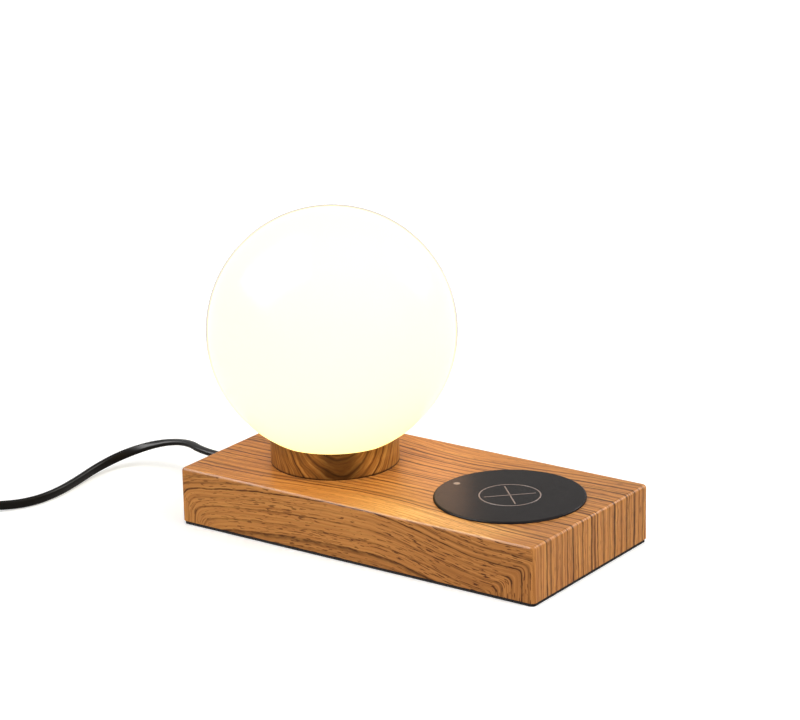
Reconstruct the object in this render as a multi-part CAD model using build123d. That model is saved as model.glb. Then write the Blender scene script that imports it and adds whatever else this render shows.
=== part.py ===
from build123d import *

import math
import os

os.makedirs("parts", exist_ok=True)

# Frame: millimetres, origin on the table under the middle of the base.
# +X runs from the globe to the charging pad, +Y to the back, +Z up.

# Wooden base
BASE_LENGTH = 250.0
BASE_WIDTH = 123.0
BASE_HEIGHT = 35.5
BASE_TOP_ROUND = 2.2
BASE_CORNER_ROUND = 2.6
SIDE_WALL = 9.0
ROOF = 7.0
POCKET_CORNER_ROUND = 6.0
FOOT_THICKNESS = 2.0
FOOT_INSET = 0.6
PLATE_THICKNESS = 3.0
PLATE_LAP = 4.5
PLATE_CLEARANCE = 0.25
POST_RADIUS = 7.5
POST_FROM_WALL = 3.5

# Wood screws
WOOD_SCREW_RADIUS = 1.75
WOOD_SCREW_HEAD_RADIUS = 3.5
WOOD_SCREW_HEAD_HEIGHT = 2.0
WOOD_SCREW_LENGTH = 14.0
SMALL_SCREW_RADIUS = 1.25
SMALL_SCREW_HEAD_RADIUS = 2.4
SMALL_SCREW_HEAD_HEIGHT = 1.6
SMALL_SCREW_LENGTH = 8.0
SCREW_CLEARANCE = 0.2
DRIVE_RADIUS = 1.1
DRIVE_WIDTH = 0.7
DRIVE_DEPTH = 0.9
SCREW_TIP_SHARE = 1.6
HEAD_ROUND_SHARE = 0.45

# Globe and the wooden collar that it sits on
GLOBE_FROM_END = 69.5
GLOBE_RADIUS = 74.5
GLASS_WALL = 2.4
SEAT_GAP = 0.3
COLLAR_RADIUS = 38.5
COLLAR_HEIGHT = 16.4
COLLAR_BORE_RADIUS = 28.0
COLLAR_RIM_ROUND = 0.6
COLLAR_SCREWS = 3
COLLAR_SCREW_BITE = 8.0
COLLAR_SCREW_START = 60.0
NECK_RADIUS = 24.5
NECK_LIFT = 2.2
NECK_RIM_ROUND = 0.8

# Gallery, threaded tube and lamp holder
GALLERY_RADIUS = 26.5
GALLERY_THICKNESS = 1.0
GALLERY_RIM_HEIGHT = 2.6
SPRINGS = 3
SPRING_WIDTH = 8.0
SPRING_THICKNESS = 0.6
SPRING_HEIGHT = 14.0
SPRING_BELLY_HEIGHT = 9.0
SPRING_FOOT_HEIGHT = 4.0
SPRING_FOOT_RADIUS = 18.5
SPRING_START = 90.0
SPRING_GAP = 0.3
TUBE_RADIUS = 4.9
TUBE_BORE_RADIUS = 3.6
TUBE_BELOW_ROOF = 8.0
TUBE_CLEARANCE = 0.15
NUT_HEIGHT = 3.0
NUT_ACROSS_FLATS = 14.0
WASHER_RADIUS = 9.5
WASHER_THICKNESS = 1.2
BRACKET_THICKNESS = 1.2
BRACKET_WIDTH = 12.0
BRACKET_INSIDE = 21.2
BRACKET_BEND = 2.0
BRACKET_BELOW_HEAD = 1.0
HOLDER_LIFT = 1.0
HOLDER_FOOT_HEIGHT = 10.0
HOLDER_RADIUS = 11.5
HOLDER_HEAD_HEIGHT = 12.0
HOLDER_EDGE = 1.0
HOLDER_FIT = 0.05
HOLDER_FOOT_ROUND = 1.0
PIN_SPACING = 9.0
SLOT_WIDTH = 2.4
SLOT_LENGTH = 6.4
SLOT_DEPTH = 13.0
CONTACT_THICKNESS = 0.4
CONTACT_HEIGHT = 9.0
CONTACT_SIDE_GAP = 1.0
HOLDER_SCREW_RADIUS = 1.5
HOLDER_SCREW_HEAD_RADIUS = 2.7
HOLDER_SCREW_HEAD_HEIGHT = 1.8
HOLDER_SCREW_BITE = 3.0

# Bulb with two wire loop pins
BULB_GAP = 0.2
BULB_FOOT_RADIUS = 7.0
BULB_FOOT_HEIGHT = 5.0
BULB_FLARE_HEIGHT = 6.0
BULB_RADIUS = 8.5
BULB_COVER_LENGTH = 40.0
BULB_COVER_WALL = 1.2
PIN_WIRE_RADIUS = 0.5
PIN_LOOP_RADIUS = 1.75
PIN_LENGTH = 9.5
PIN_ROOT = 3.0
LED_BOARD_WIDTH = 10.0
LED_BOARD_THICKNESS = 1.0
LED_BOARD_MARGIN = 5.0
LED_CHIP = 2.4
LED_CHIP_HEIGHT = 0.7
LED_CHIPS = 6

# Charging pad let into the base
PAD_FROM_END = 55.7
PAD_RADIUS = 44.4
PAD_PROUD = 1.3
PAD_EDGE_ROUND = 1.0
PAD_PLATE = 2.3
PAD_FLANGE_LAP = 2.9
SKIRT_WALL = 1.8
SKIRT_DEPTH = 16.0
SKIRT_CLEARANCE = 0.4
LOCK_RING_WIDTH = 4.0
LOCK_RING_HEIGHT = 4.0
LOCK_RING_FIT = 0.15
LOCK_RING_GRIPS = 8
LOCK_RING_GRIP_RADIUS = 2.2
LOCK_RING_GRIP_OUT = 1.0
CAP_THICKNESS = 2.0
CAP_RIM = 1.6
CAP_RIM_HEIGHT = 3.0
CAP_FIT = 0.1
CAP_VENTS = 5
CAP_VENT_LENGTH = 28.0
CAP_VENT_WIDTH = 2.0
CAP_VENT_PITCH = 7.0
CAP_NOTCH_LENGTH = 5.0
CAP_NOTCH_WIDTH = 7.0
INDICATOR_RADIUS = 2.0
INDICATOR_FLANGE = 0.6
INDICATOR_FLANGE_HEIGHT = 1.0
INDICATOR_FIT = 0.05
INDICATOR_WALL_GAP = 0.1
INDICATOR_LED_GAP = 0.3
PAD_BOSSES = 3
PAD_BOSS_RADIUS = 3.2
PAD_BOSS_CIRCLE = 33.0
PAD_BOSS_HEIGHT = 5.0
PAD_BOSS_BOTTOM_GAP = 0.5
CHARGER_BOARD_GAP = 1.1
CHARGER_BOARD_THICKNESS = 1.6
CHARGER_LED_LENGTH = 2.0
CHARGER_LED_WIDTH = 1.2
CHARGER_LED_HEIGHT = 0.9
CHARGER_CHIP_SIDE = 9.0
CHARGER_CHIP_HEIGHT = 1.2
CHARGER_CHOKE_SIDE = 7.0
CHARGER_CHOKE_HEIGHT = 3.0
CHARGER_CHOKE_PLACE = (12.0, -16.0)
CHARGER_CANS = 3
CHARGER_CAN_RADIUS = 2.5
CHARGER_CAN_HEIGHT = 4.5
CHARGER_CAN_PITCH = 7.0
CHARGER_CAN_PLACE = (-16.0, -14.0)
CHIP_ROUND = 0.5
FERRITE_RADIUS = 25.0
FERRITE_THICKNESS = 1.2
CHARGER_WIRE = 1.2
CHARGER_WIRE_PITCH = 1.9
CHARGER_COIL_BORE = 10.0
CHARGER_HALF_TURNS = 12
LAYER_GAP = 0.1

# Power supply and terminals under the roof
POWER_BOARD_LENGTH = 50.0
POWER_BOARD_WIDTH = 38.0
POWER_BOARD_THICKNESS = 1.6
SPACER_HEIGHT = 4.0
SPACER_RADIUS = 3.2
SPACER_INSET = 4.0
POWER_BOARD_ROUND = 1.0
TRANSFORMER_SIZE = 15.0
TRANSFORMER_HEIGHT = 12.0
TRANSFORMER_BOBBIN = 2.5
TRANSFORMER_PLACE = (3.0, 2.0)
CAPACITORS = 2
CAPACITOR_RADIUS = 4.0
CAPACITOR_HEIGHT = 11.0
CAPACITOR_ROUND = 0.6
CAPACITOR_PITCH = 10.0
CAPACITOR_PLACE = (17.0, 0.0)
FUSE_RADIUS = 3.2
FUSE_LENGTH = 12.0
FUSE_SUNK = 0.2
FUSE_PLACE = (-12.0, 8.0)
POWER_CHIP_LENGTH = 8.0
POWER_CHIP_WIDTH = 4.0
POWER_CHIP_HEIGHT = 1.6
POWER_CHIP_PLACE = (-2.0, -13.0)
TERMINAL_FROM_END = 59.0
TERMINAL_Y = -24.0
TERMINAL_LENGTH = 24.0
TERMINAL_WIDTH = 16.0
TERMINAL_HEIGHT = 11.0
TERMINAL_WAYS = 3
TERMINAL_ROUND = 1.0
TERMINAL_BORE_RADIUS = 1.5
TERMINAL_WELL_RADIUS = 1.8
TERMINAL_SCREW_RADIUS = 1.6
TERMINAL_SCREW_LENGTH = 3.0
TERMINAL_FIXING_BITE = 5.0

# Mains lead, its strain relief and its clamp
CORD_WIDTH = 5.8
EXIT_Y = 6.0
EXIT_Z = 18.5
RELIEF_LENGTH = 22.0
RELIEF_FLANGE_RADIUS = 6.8
RELIEF_FLANGE = 2.0
RELIEF_ROOT_RADIUS = 5.2
RELIEF_TIP_RADIUS = 4.0
RELIEF_NECK_RADIUS = 5.0
RELIEF_NECK_LIP = 0.8
RELIEF_NECK_FIT = 0.1
RELIEF_BARB = 3.0
RELIEF_BARB_GAP = 0.3
RELIEF_GROOVES = 5
RELIEF_GROOVE_WIDTH = 1.2
RELIEF_GROOVE_DEPTH = 0.7
RELIEF_BORE_FIT = 0.05
CLAMP_FROM_END = 23.0
CLAMP_LENGTH = 8.0
CLAMP_THICKNESS = 1.6
CLAMP_EAR = 7.0
CLAMP_FIT = 0.1
CLAMP_PAD_MARGIN = 3.0
CLAMP_PAD_ROUND = 1.5
INLET_REACH = 32.0

# Leads inside the base
LEAD_RADIUS = 1.1
LEAD_CLEARANCE = 0.3
LEAD_BORE_FIT = 0.05
LEAD_PAST_SCREW = 2.5
CORE_OFFSET = 1.4
MAINS_LANES = (12.0, 7.0)
SUPPLY_RUNS = (6.0, 8.0)
SUPPLY_BOARD_Y = (-10.0, -14.0)
LAMP_BOARD_Y = (-2.0, 3.0)
LAMP_TURN_BEFORE = (6.0, 7.2)
LAMP_TURN_Y = (-1.5, 5.5)
LAMP_TUBE_OFFSET = 2.2
HOLDER_RECESS_DEPTH = 4.0
PAD_BOARD_Y = (5.5, 9.0)
PAD_NOTCH_Y = (-1.6, 1.6)
PAD_LEAD_RUN = 12.2
LEAD_BOARD_EDGE = 3.1
LEAD_DROP = 6.2
LEAD_SAG = 1.5

# Switch on the cord
SWITCH_LENGTH = 56.0
SWITCH_WIDTH = 22.0
SWITCH_END_WIDTH = 13.0
SWITCH_HEIGHT = 13.0
SWITCH_SPLIT = 6.0
SWITCH_CORNER_ROUND = 3.0
SWITCH_TOP_ROUND = 2.2
SWITCH_BOTTOM_ROUND = 1.0
SWITCH_WALL = 1.6
SWITCH_FIT = 0.1
SWITCH_POST_RADIUS = 3.6
SWITCH_POST_X = 17.5
SWITCH_SCREW_BITE = 4.0
SWITCH_SCREW_SUNK = 0.4
SWITCH_GRIPS = 6
SWITCH_GRIP_PITCH = 2.6
SWITCH_GRIP_WIDTH = 1.2
SWITCH_GRIP_DEPTH = 0.5
SWITCH_WINDOW_LENGTH = 18.0
SWITCH_WINDOW_WIDTH = 9.6
SWITCH_WINDOW_ROUND = 0.8
ROCKER_LENGTH = 15.8
ROCKER_WIDTH = 9.0
ROCKER_RISE = 1.4
ROCKER_DIP = 1.1
ROCKER_PIVOT_DROP = 3.8
ROCKER_AXLE_RADIUS = 1.2
ROCKER_AXLE_LENGTH = 12.4
ROCKER_AXLE_FIT = 0.08
ROCKER_AXLE_END_GAP = 0.2
ROCKER_EDGE_HEIGHT = 2.6
ROCKER_BELLY = 2.2
ROCKER_BELLY_SHARE = 0.4
ROCKER_EDGE_ROUND = 0.8
ROCKER_TILT = 8.0
ROCKER_CHEEK = 1.6
ROCKER_CHEEK_DROP = 2.4
ROCKER_CHEEK_MARGIN = 1.0

# Plug with two round pins
PLUG_WIDTH = 35.3
PLUG_THICKNESS = 13.7
PLUG_FRONT_LENGTH = 16.0
PLUG_TAPER_LENGTH = 20.0
PLUG_REAR_WIDTH = 13.0
PLUG_REAR_THICKNESS = 9.6
PLUG_EDGE_ROUND = 5.5
PLUG_REAR_ROUND = 4.3
PLUG_TAIL_LENGTH = 20.0
PLUG_TAIL_RADIUS = 4.2
PLUG_TAIL_TIP_RADIUS = 3.6
PLUG_GROOVES = 5
PLUG_GROOVE_WIDTH = 1.2
PLUG_GROOVE_DEPTH = 0.6
PLUG_PIN_RADIUS = 2.0
PLUG_SLEEVE_RADIUS = 1.8
PLUG_SLEEVE_LENGTH = 10.0
PLUG_PIN_LENGTH = 19.0
PLUG_PIN_SPACING = 18.6
PLUG_PIN_ROOT = 5.0
PLUG_SLEEVE_WALL = 0.5
PLUG_PIN_TIP_ROUND = 1.2

# Coil of the put-away length and its tie
COIL_RADIUS = 42.0
COIL_PITCH = 6.3
COIL_TURNS_ACROSS = 3
TIE_WIDTH = 6.0
TIE_THICKNESS = 0.6
TIE_FIT = 0.3
TIE_SIDE_FIT = 1.0
TIE_ROUND = 1.5

# Heights and places worked out from the sizes above
LEFT_END_X = -BASE_LENGTH / 2
GLOBE_X = LEFT_END_X + GLOBE_FROM_END
CLAMP_X = LEFT_END_X + CLAMP_FROM_END
INLET_END_X = LEFT_END_X + INLET_REACH
TERMINAL_X = LEFT_END_X + TERMINAL_FROM_END
PAD_X = BASE_LENGTH / 2 - PAD_FROM_END
ROOF_UNDER = BASE_HEIGHT - ROOF
POCKET_FLOOR = FOOT_THICKNESS + PLATE_THICKNESS
SEAT_RADIUS = GLOBE_RADIUS + SEAT_GAP
COLLAR_TOP = BASE_HEIGHT + COLLAR_HEIGHT
GLOBE_Z = COLLAR_TOP + math.sqrt(SEAT_RADIUS**2 - COLLAR_RADIUS**2)
NECK_BOTTOM = BASE_HEIGHT + NECK_LIFT
NECK_BORE_RADIUS = NECK_RADIUS - GLASS_WALL
GLASS_RADIUS = GLOBE_RADIUS - GLASS_WALL
NECK_TOP = GLOBE_Z - math.sqrt(GLOBE_RADIUS**2 - NECK_RADIUS**2)
BORE_TOP = GLOBE_Z - math.sqrt(GLASS_RADIUS**2 - NECK_BORE_RADIUS**2)
GALLERY_TOP = BASE_HEIGHT + GALLERY_THICKNESS
BRACKET_TOP = GALLERY_TOP + BRACKET_THICKNESS
TOP_NUT_TOP = BRACKET_TOP + NUT_HEIGHT
HOLDER_BOTTOM = TOP_NUT_TOP + HOLDER_LIFT
HOLDER_TOP = HOLDER_BOTTOM + HOLDER_FOOT_HEIGHT + HOLDER_HEAD_HEIGHT
BULB_BOTTOM = HOLDER_TOP + BULB_GAP
BULB_COVER_BOTTOM = BULB_BOTTOM + BULB_FOOT_HEIGHT + BULB_FLARE_HEIGHT
COLLAR_SCREW_CIRCLE = (COLLAR_RADIUS + COLLAR_BORE_RADIUS) / 2
PAD_TOP = BASE_HEIGHT + PAD_PROUD
PAD_CEILING = PAD_TOP - PAD_PLATE
SKIRT_RADIUS = PAD_RADIUS - PAD_FLANGE_LAP
SKIRT_BOTTOM = BASE_HEIGHT - SKIRT_DEPTH
LOCK_RING_RADIUS = SKIRT_RADIUS + LOCK_RING_WIDTH
POWER_BOARD_X = (GLOBE_X + WASHER_RADIUS + PAD_X - LOCK_RING_RADIUS) / 2
SKIRT_BORE_RADIUS = SKIRT_RADIUS - SKIRT_WALL
INDICATOR_FLANGE_RADIUS = INDICATOR_RADIUS + INDICATOR_FLANGE
INDICATOR_FROM_PAD = SKIRT_BORE_RADIUS - INDICATOR_WALL_GAP - INDICATOR_FLANGE_RADIUS
CHARGER_BOARD_RADIUS = SKIRT_BORE_RADIUS - CHARGER_BOARD_GAP
CHARGER_BOARD_TOP = PAD_CEILING - PAD_BOSS_HEIGHT
CHARGER_BOARD_BOTTOM = CHARGER_BOARD_TOP - CHARGER_BOARD_THICKNESS
POWER_BOARD_BOTTOM = ROOF_UNDER - SPACER_HEIGHT - POWER_BOARD_THICKNESS
TERMINAL_BOTTOM = ROOF_UNDER - TERMINAL_HEIGHT
TERMINAL_LEAD_Z = TERMINAL_BOTTOM + TERMINAL_HEIGHT / 2 + TERMINAL_BORE_RADIUS - LEAD_BORE_FIT - LEAD_RADIUS
GRUB_LOW = TERMINAL_LEAD_Z - LEAD_RADIUS - TERMINAL_SCREW_LENGTH
LEAD_LOW_Z = POWER_BOARD_BOTTOM - LEAD_DROP
LEAD_HOLE_RADIUS = LEAD_RADIUS + LEAD_CLEARANCE
CORD_RADIUS = CORD_WIDTH / 2
RELIEF_TIP_X = LEFT_END_X - RELIEF_LENGTH
CLAMP_PAD_Z = EXIT_Z + CORD_RADIUS
COIL_LOW_Z = CORD_RADIUS + TIE_THICKNESS + TIE_FIT
COIL_HIGH_Z = COIL_LOW_Z + COIL_PITCH
PLUG_AXIS_Z = PLUG_THICKNESS / 2

# Just past the left edge of the photograph the cord is put away.
# Places there are given along the cord's heading and to its right.
EDGE_POINT = (-233.0, -106.0)
EDGE_HEADING = 222.06
SWITCH_START = 34.0
COIL_AHEAD = 98.0
COIL_ASIDE = 66.0
PLUG_ALONG = -12.0
PLUG_ACROSS = 64.0


def put_away(ahead, aside, z):
    """A point past the edge of the photograph, from its place along and beside the cord's heading."""
    heading = math.radians(EDGE_HEADING)
    x = EDGE_POINT[0] + ahead * math.cos(heading) + aside * math.sin(heading)
    y = EDGE_POINT[1] + ahead * math.sin(heading) - aside * math.cos(heading)
    return Vector(x, y, z)


def at_globe(shape, z=0.0):
    return Pos(GLOBE_X, 0, z) * shape


def at_pad(shape, z=0.0):
    return Pos(PAD_X, 0, z) * shape


def disc(radius, height, z=0.0):
    """A cylinder that stands on height z."""
    return Pos(0, 0, z) * extrude(Circle(radius), height)


def ring(outer, inner, height, z=0.0):
    return disc(outer, height, z) - disc(inner, height, z)


def slab(length, width, height, z=0.0, corner=0.0):
    """A plate that stands on height z, with rounded upright edges."""
    outline = RectangleRounded(length, width, corner) if corner else Rectangle(length, width)
    return Pos(0, 0, z) * extrude(outline, height)


def turned(profile):
    """The solid of a closed outline in the XZ plane, turned about Z."""
    return revolve(Plane.XZ * profile, Axis.Z)


def group(shapes):
    """Separate solids of one node."""
    return Compound(children=[solid for shape in shapes for solid in shape.solids()])


def spaced_round(count, radius, start=0.0):
    """Places spread evenly round a circle."""
    angles = [math.radians(start + 360.0 * k / count) for k in range(count)]
    return [(radius * math.cos(a), radius * math.sin(a)) for a in angles]


def cross_recess():
    """The drive recess of a screw, cut down from height zero."""
    across = slab(2 * DRIVE_RADIUS, DRIVE_WIDTH, DRIVE_DEPTH, -DRIVE_DEPTH)
    return across + Rot(0, 0, 90) * across


def countersunk_screw(radius, head_radius, head_height, length):
    """A countersunk screw that points down, with its head flush at height zero."""
    tip = SCREW_TIP_SHARE * radius
    outline = Polyline(
        (0, 0),
        (head_radius, 0),
        (radius, -head_height),
        (radius, tip - length),
        (0, -length),
        close=True,
    )
    return turned(make_face(outline)) - cross_recess()


def pan_head_screw(radius, head_radius, head_height, length):
    """A pan head screw that points down, with the underside of its head at height zero."""
    head = disc(head_radius, head_height)
    head = fillet(head.edges().sort_by(Axis.Z)[-1], HEAD_ROUND_SHARE * head_height)
    return head + disc(radius, length, -length) - Pos(0, 0, head_height) * cross_recess()


def wood_screw():
    return countersunk_screw(
        WOOD_SCREW_RADIUS, WOOD_SCREW_HEAD_RADIUS, WOOD_SCREW_HEAD_HEIGHT, WOOD_SCREW_LENGTH
    )


def small_screw():
    return pan_head_screw(
        SMALL_SCREW_RADIUS, SMALL_SCREW_HEAD_RADIUS, SMALL_SCREW_HEAD_HEIGHT, SMALL_SCREW_LENGTH
    )


def hex_nut(z):
    nut = extrude(RegularPolygon(NUT_ACROSS_FLATS / 2, 6, major_radius=False), NUT_HEIGHT)
    return Pos(0, 0, z) * (nut - disc(TUBE_RADIUS, NUT_HEIGHT))


def arc_radii(points):
    """Each corner's arc is as large as its two runs allow."""
    radii = []
    for a, b, c in zip(points, points[1:], points[2:]):
        before = Vector(b) - Vector(a)
        after = Vector(c) - Vector(b)
        half_turn = math.radians(before.get_angle(after)) / 2
        radii.append(0.45 * min(before.length, after.length) / math.tan(half_turn))
    return radii


def tube_along(points, radius, name):
    """A round tube along straight runs and tangent arcs, with its arcs and volume printed."""
    radii = arc_radii(points)
    path = FilletPolyline(*points, radius=radii)
    start = Plane(origin=path @ 0, z_dir=path % 0)
    tube = sweep(start * Circle(radius), path=path)
    share = tube.volume / (math.pi * radius**2 * path.length)
    print(name, "length", round(path.length, 1), "volume share", round(share, 4))
    print(name, "arc radii", [round(r, 1) for r in radii])
    return tube


def turned_back(point):
    """A screw that points up instead of down, at a place under the roof."""
    return Pos(*point) * Rot(180, 0, 0)


# Wooden base, its bottom plate and its foot


def post_places():
    """The six posts that the bottom plate is screwed to."""
    x = BASE_LENGTH / 2 - SIDE_WALL - POST_FROM_WALL
    y = BASE_WIDTH / 2 - SIDE_WALL - POST_FROM_WALL
    return [(sx * x, sy * y) for sx in (-1, 0, 1) for sy in (-1, 1)]


def power_board_corners():
    """The board's four screws. It lies across the base, with its length from front to back."""
    x = POWER_BOARD_WIDTH / 2 - SPACER_INSET
    y = POWER_BOARD_LENGTH / 2 - SPACER_INSET
    return [(POWER_BOARD_X + sx * x, sy * y) for sx in (-1, 1) for sy in (-1, 1)]


def clamp_screw_places():
    offset = CORD_RADIUS + CLAMP_THICKNESS + CLAMP_EAR / 2
    return [(CLAMP_X, EXIT_Y - offset), (CLAMP_X, EXIT_Y + offset)]


def clamp_pad():
    """The block of wood left under the roof, which the cord is clamped against."""
    length = CLAMP_LENGTH + 2 * CLAMP_PAD_MARGIN
    width = 2 * (CORD_RADIUS + CLAMP_THICKNESS + CLAMP_EAR) + 2 * CLAMP_PAD_MARGIN
    height = ROOF_UNDER - CLAMP_PAD_Z
    return Pos(CLAMP_X, EXIT_Y, 0) * slab(length, width, height, CLAMP_PAD_Z, CLAMP_PAD_ROUND)


def pocket():
    """The hollow routed into the base from below, less what the router leaves standing."""
    depth = ROOF_UNDER - POCKET_FLOOR
    hollow = slab(
        BASE_LENGTH - 2 * SIDE_WALL,
        BASE_WIDTH - 2 * SIDE_WALL,
        depth,
        POCKET_FLOOR,
        POCKET_CORNER_ROUND,
    )
    hollow -= [Pos(x, y, 0) * disc(POST_RADIUS, depth, POCKET_FLOOR) for x, y in post_places()]
    return hollow - clamp_pad()


def base_block():
    outline = RectangleRounded(BASE_LENGTH, BASE_WIDTH, BASE_CORNER_ROUND)
    block = Pos(0, 0, FOOT_THICKNESS) * extrude(outline, BASE_HEIGHT - FOOT_THICKNESS)
    block = fillet(block.faces().sort_by(Axis.Z)[-1].edges(), BASE_TOP_ROUND)
    rebate_length = BASE_LENGTH - 2 * (SIDE_WALL - PLATE_LAP)
    rebate_width = BASE_WIDTH - 2 * (SIDE_WALL - PLATE_LAP)
    block -= slab(rebate_length, rebate_width, PLATE_THICKNESS, FOOT_THICKNESS, POCKET_CORNER_ROUND)
    block -= pocket()
    block -= at_pad(disc(SKIRT_RADIUS + SKIRT_CLEARANCE, ROOF, ROOF_UNDER))
    block -= at_globe(disc(TUBE_RADIUS + TUBE_CLEARANCE, ROOF, ROOF_UNDER))
    hole = disc(WOOD_SCREW_RADIUS + SCREW_CLEARANCE, ROOF, ROOF_UNDER)
    block -= [at_globe(Pos(x, y, 0) * hole) for x, y in collar_screw_places()]
    pilot = disc(WOOD_SCREW_RADIUS, WOOD_SCREW_LENGTH, FOOT_THICKNESS)
    block -= [Pos(x, y, 0) * pilot for x, y in post_places()]
    small_pilot = disc(SMALL_SCREW_RADIUS, SMALL_SCREW_LENGTH - SPACER_HEIGHT, ROOF_UNDER)
    block -= [Pos(x, y, 0) * small_pilot for x, y in power_board_corners()]
    clamp_pilot = disc(SMALL_SCREW_RADIUS, SMALL_SCREW_LENGTH, CLAMP_PAD_Z)
    block -= [Pos(x, y, 0) * clamp_pilot for x, y in clamp_screw_places()]
    block -= terminal_mount() * disc(SMALL_SCREW_RADIUS, TERMINAL_FIXING_BITE, ROOF_UNDER)
    bore = Pos(-BASE_LENGTH / 2, EXIT_Y, EXIT_Z) * Rot(0, 90, 0)
    return block - bore * disc(RELIEF_NECK_RADIUS + RELIEF_NECK_FIT, SIDE_WALL)


def bottom_plate():
    length = BASE_LENGTH - 2 * (SIDE_WALL - PLATE_LAP) - 2 * PLATE_CLEARANCE
    width = BASE_WIDTH - 2 * (SIDE_WALL - PLATE_LAP) - 2 * PLATE_CLEARANCE
    corner = POCKET_CORNER_ROUND - PLATE_CLEARANCE
    plate = slab(length, width, PLATE_THICKNESS, FOOT_THICKNESS, corner)
    hole = turned(
        make_face(
            Polyline(
                (0, 0),
                (WOOD_SCREW_HEAD_RADIUS + SCREW_CLEARANCE, 0),
                (WOOD_SCREW_RADIUS + SCREW_CLEARANCE, WOOD_SCREW_HEAD_HEIGHT),
                (WOOD_SCREW_RADIUS + SCREW_CLEARANCE, PLATE_THICKNESS),
                (0, PLATE_THICKNESS),
                close=True,
            )
        )
    )
    return plate - [Pos(x, y, FOOT_THICKNESS) * hole for x, y in post_places()]


def foot_pad():
    length = BASE_LENGTH - 2 * FOOT_INSET
    width = BASE_WIDTH - 2 * FOOT_INSET
    return slab(length, width, FOOT_THICKNESS, 0, BASE_CORNER_ROUND)


def bottom_screws():
    return group(turned_back((x, y, FOOT_THICKNESS)) * wood_screw() for x, y in post_places())


# Globe, collar and gallery


def collar_screw_places():
    return spaced_round(COLLAR_SCREWS, COLLAR_SCREW_CIRCLE, COLLAR_SCREW_START)


def collar():
    body = ring(COLLAR_RADIUS, COLLAR_BORE_RADIUS, COLLAR_HEIGHT, BASE_HEIGHT)
    body = fillet(body.edges().group_by(Axis.Z)[-1].sort_by(SortBy.RADIUS)[-1], COLLAR_RIM_ROUND)
    body -= Pos(0, 0, GLOBE_Z) * Sphere(SEAT_RADIUS)
    pilot = disc(WOOD_SCREW_RADIUS, COLLAR_SCREW_BITE, BASE_HEIGHT)
    body -= [Pos(x, y, 0) * pilot for x, y in collar_screw_places()]
    return at_globe(body)


def collar_screws():
    head = ROOF_UNDER
    length = ROOF + COLLAR_SCREW_BITE
    screw = pan_head_screw(
        WOOD_SCREW_RADIUS, WOOD_SCREW_HEAD_RADIUS, WOOD_SCREW_HEAD_HEIGHT, length
    )
    return group(at_globe(turned_back((x, y, head)) * screw) for x, y in collar_screw_places())


def globe():
    """Opal glass globe, turned from one outline and open where its neck begins."""
    with BuildSketch() as outline:
        with BuildLine():
            Line((NECK_BORE_RADIUS, NECK_TOP), (NECK_RADIUS, NECK_TOP))
            ThreePointArc((NECK_RADIUS, NECK_TOP), (GLOBE_RADIUS, GLOBE_Z), (0, GLOBE_Z + GLOBE_RADIUS))
            Line((0, GLOBE_Z + GLOBE_RADIUS), (0, GLOBE_Z + GLASS_RADIUS))
            ThreePointArc((0, GLOBE_Z + GLASS_RADIUS), (GLASS_RADIUS, GLOBE_Z), (NECK_BORE_RADIUS, BORE_TOP))
            Line((NECK_BORE_RADIUS, BORE_TOP), (NECK_BORE_RADIUS, NECK_TOP))
        make_face()
    return at_globe(turned(outline.sketch))


def glass_neck():
    """The globe's neck, of the same glass, with its rim rounded."""
    neck = ring(NECK_RADIUS, NECK_BORE_RADIUS, NECK_TOP - NECK_BOTTOM, NECK_BOTTOM)
    return at_globe(fillet(neck.edges().group_by(Axis.Z)[0], NECK_RIM_ROUND))


def spring():
    """One bowed leaf that steadies the neck of the globe from inside."""
    corner = NECK_BORE_RADIUS - SPRING_GAP
    reach = math.sqrt(corner**2 - SPRING_WIDTH**2 / 4) - SPRING_THICKNESS
    low = BASE_HEIGHT + GALLERY_THICKNESS / 2
    path = Polyline(
        (SPRING_FOOT_RADIUS, low),
        (SPRING_FOOT_RADIUS, low + SPRING_FOOT_HEIGHT),
        (reach, low + SPRING_BELLY_HEIGHT),
        (SPRING_FOOT_RADIUS, low + SPRING_HEIGHT),
    )
    leaf = trace(path, line_width=SPRING_THICKNESS)
    return extrude(Plane.XZ * leaf, SPRING_WIDTH / 2, both=True)


def gallery():
    """The pressed steel dish on the base, with its springs."""
    dish = disc(GALLERY_RADIUS, GALLERY_RIM_HEIGHT, BASE_HEIGHT)
    dish -= disc(GALLERY_RADIUS - GALLERY_THICKNESS, GALLERY_RIM_HEIGHT, GALLERY_TOP)
    dish -= disc(TUBE_RADIUS + TUBE_CLEARANCE, GALLERY_THICKNESS, BASE_HEIGHT)
    leaf = spring()
    dish += [Rot(0, 0, SPRING_START + 360 * k / SPRINGS) * leaf for k in range(SPRINGS)]
    return at_globe(dish)


def threaded_tube():
    height = TOP_NUT_TOP - ROOF_UNDER + TUBE_BELOW_ROOF
    return at_globe(ring(TUBE_RADIUS, TUBE_BORE_RADIUS, height, ROOF_UNDER - TUBE_BELOW_ROOF))


def tube_nuts():
    washer = ring(WASHER_RADIUS, TUBE_RADIUS, WASHER_THICKNESS, ROOF_UNDER - WASHER_THICKNESS)
    low_nut = hex_nut(ROOF_UNDER - WASHER_THICKNESS - NUT_HEIGHT)
    return group([at_globe(washer), at_globe(low_nut), at_globe(hex_nut(BRACKET_TOP))])


# Lamp holder


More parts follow.
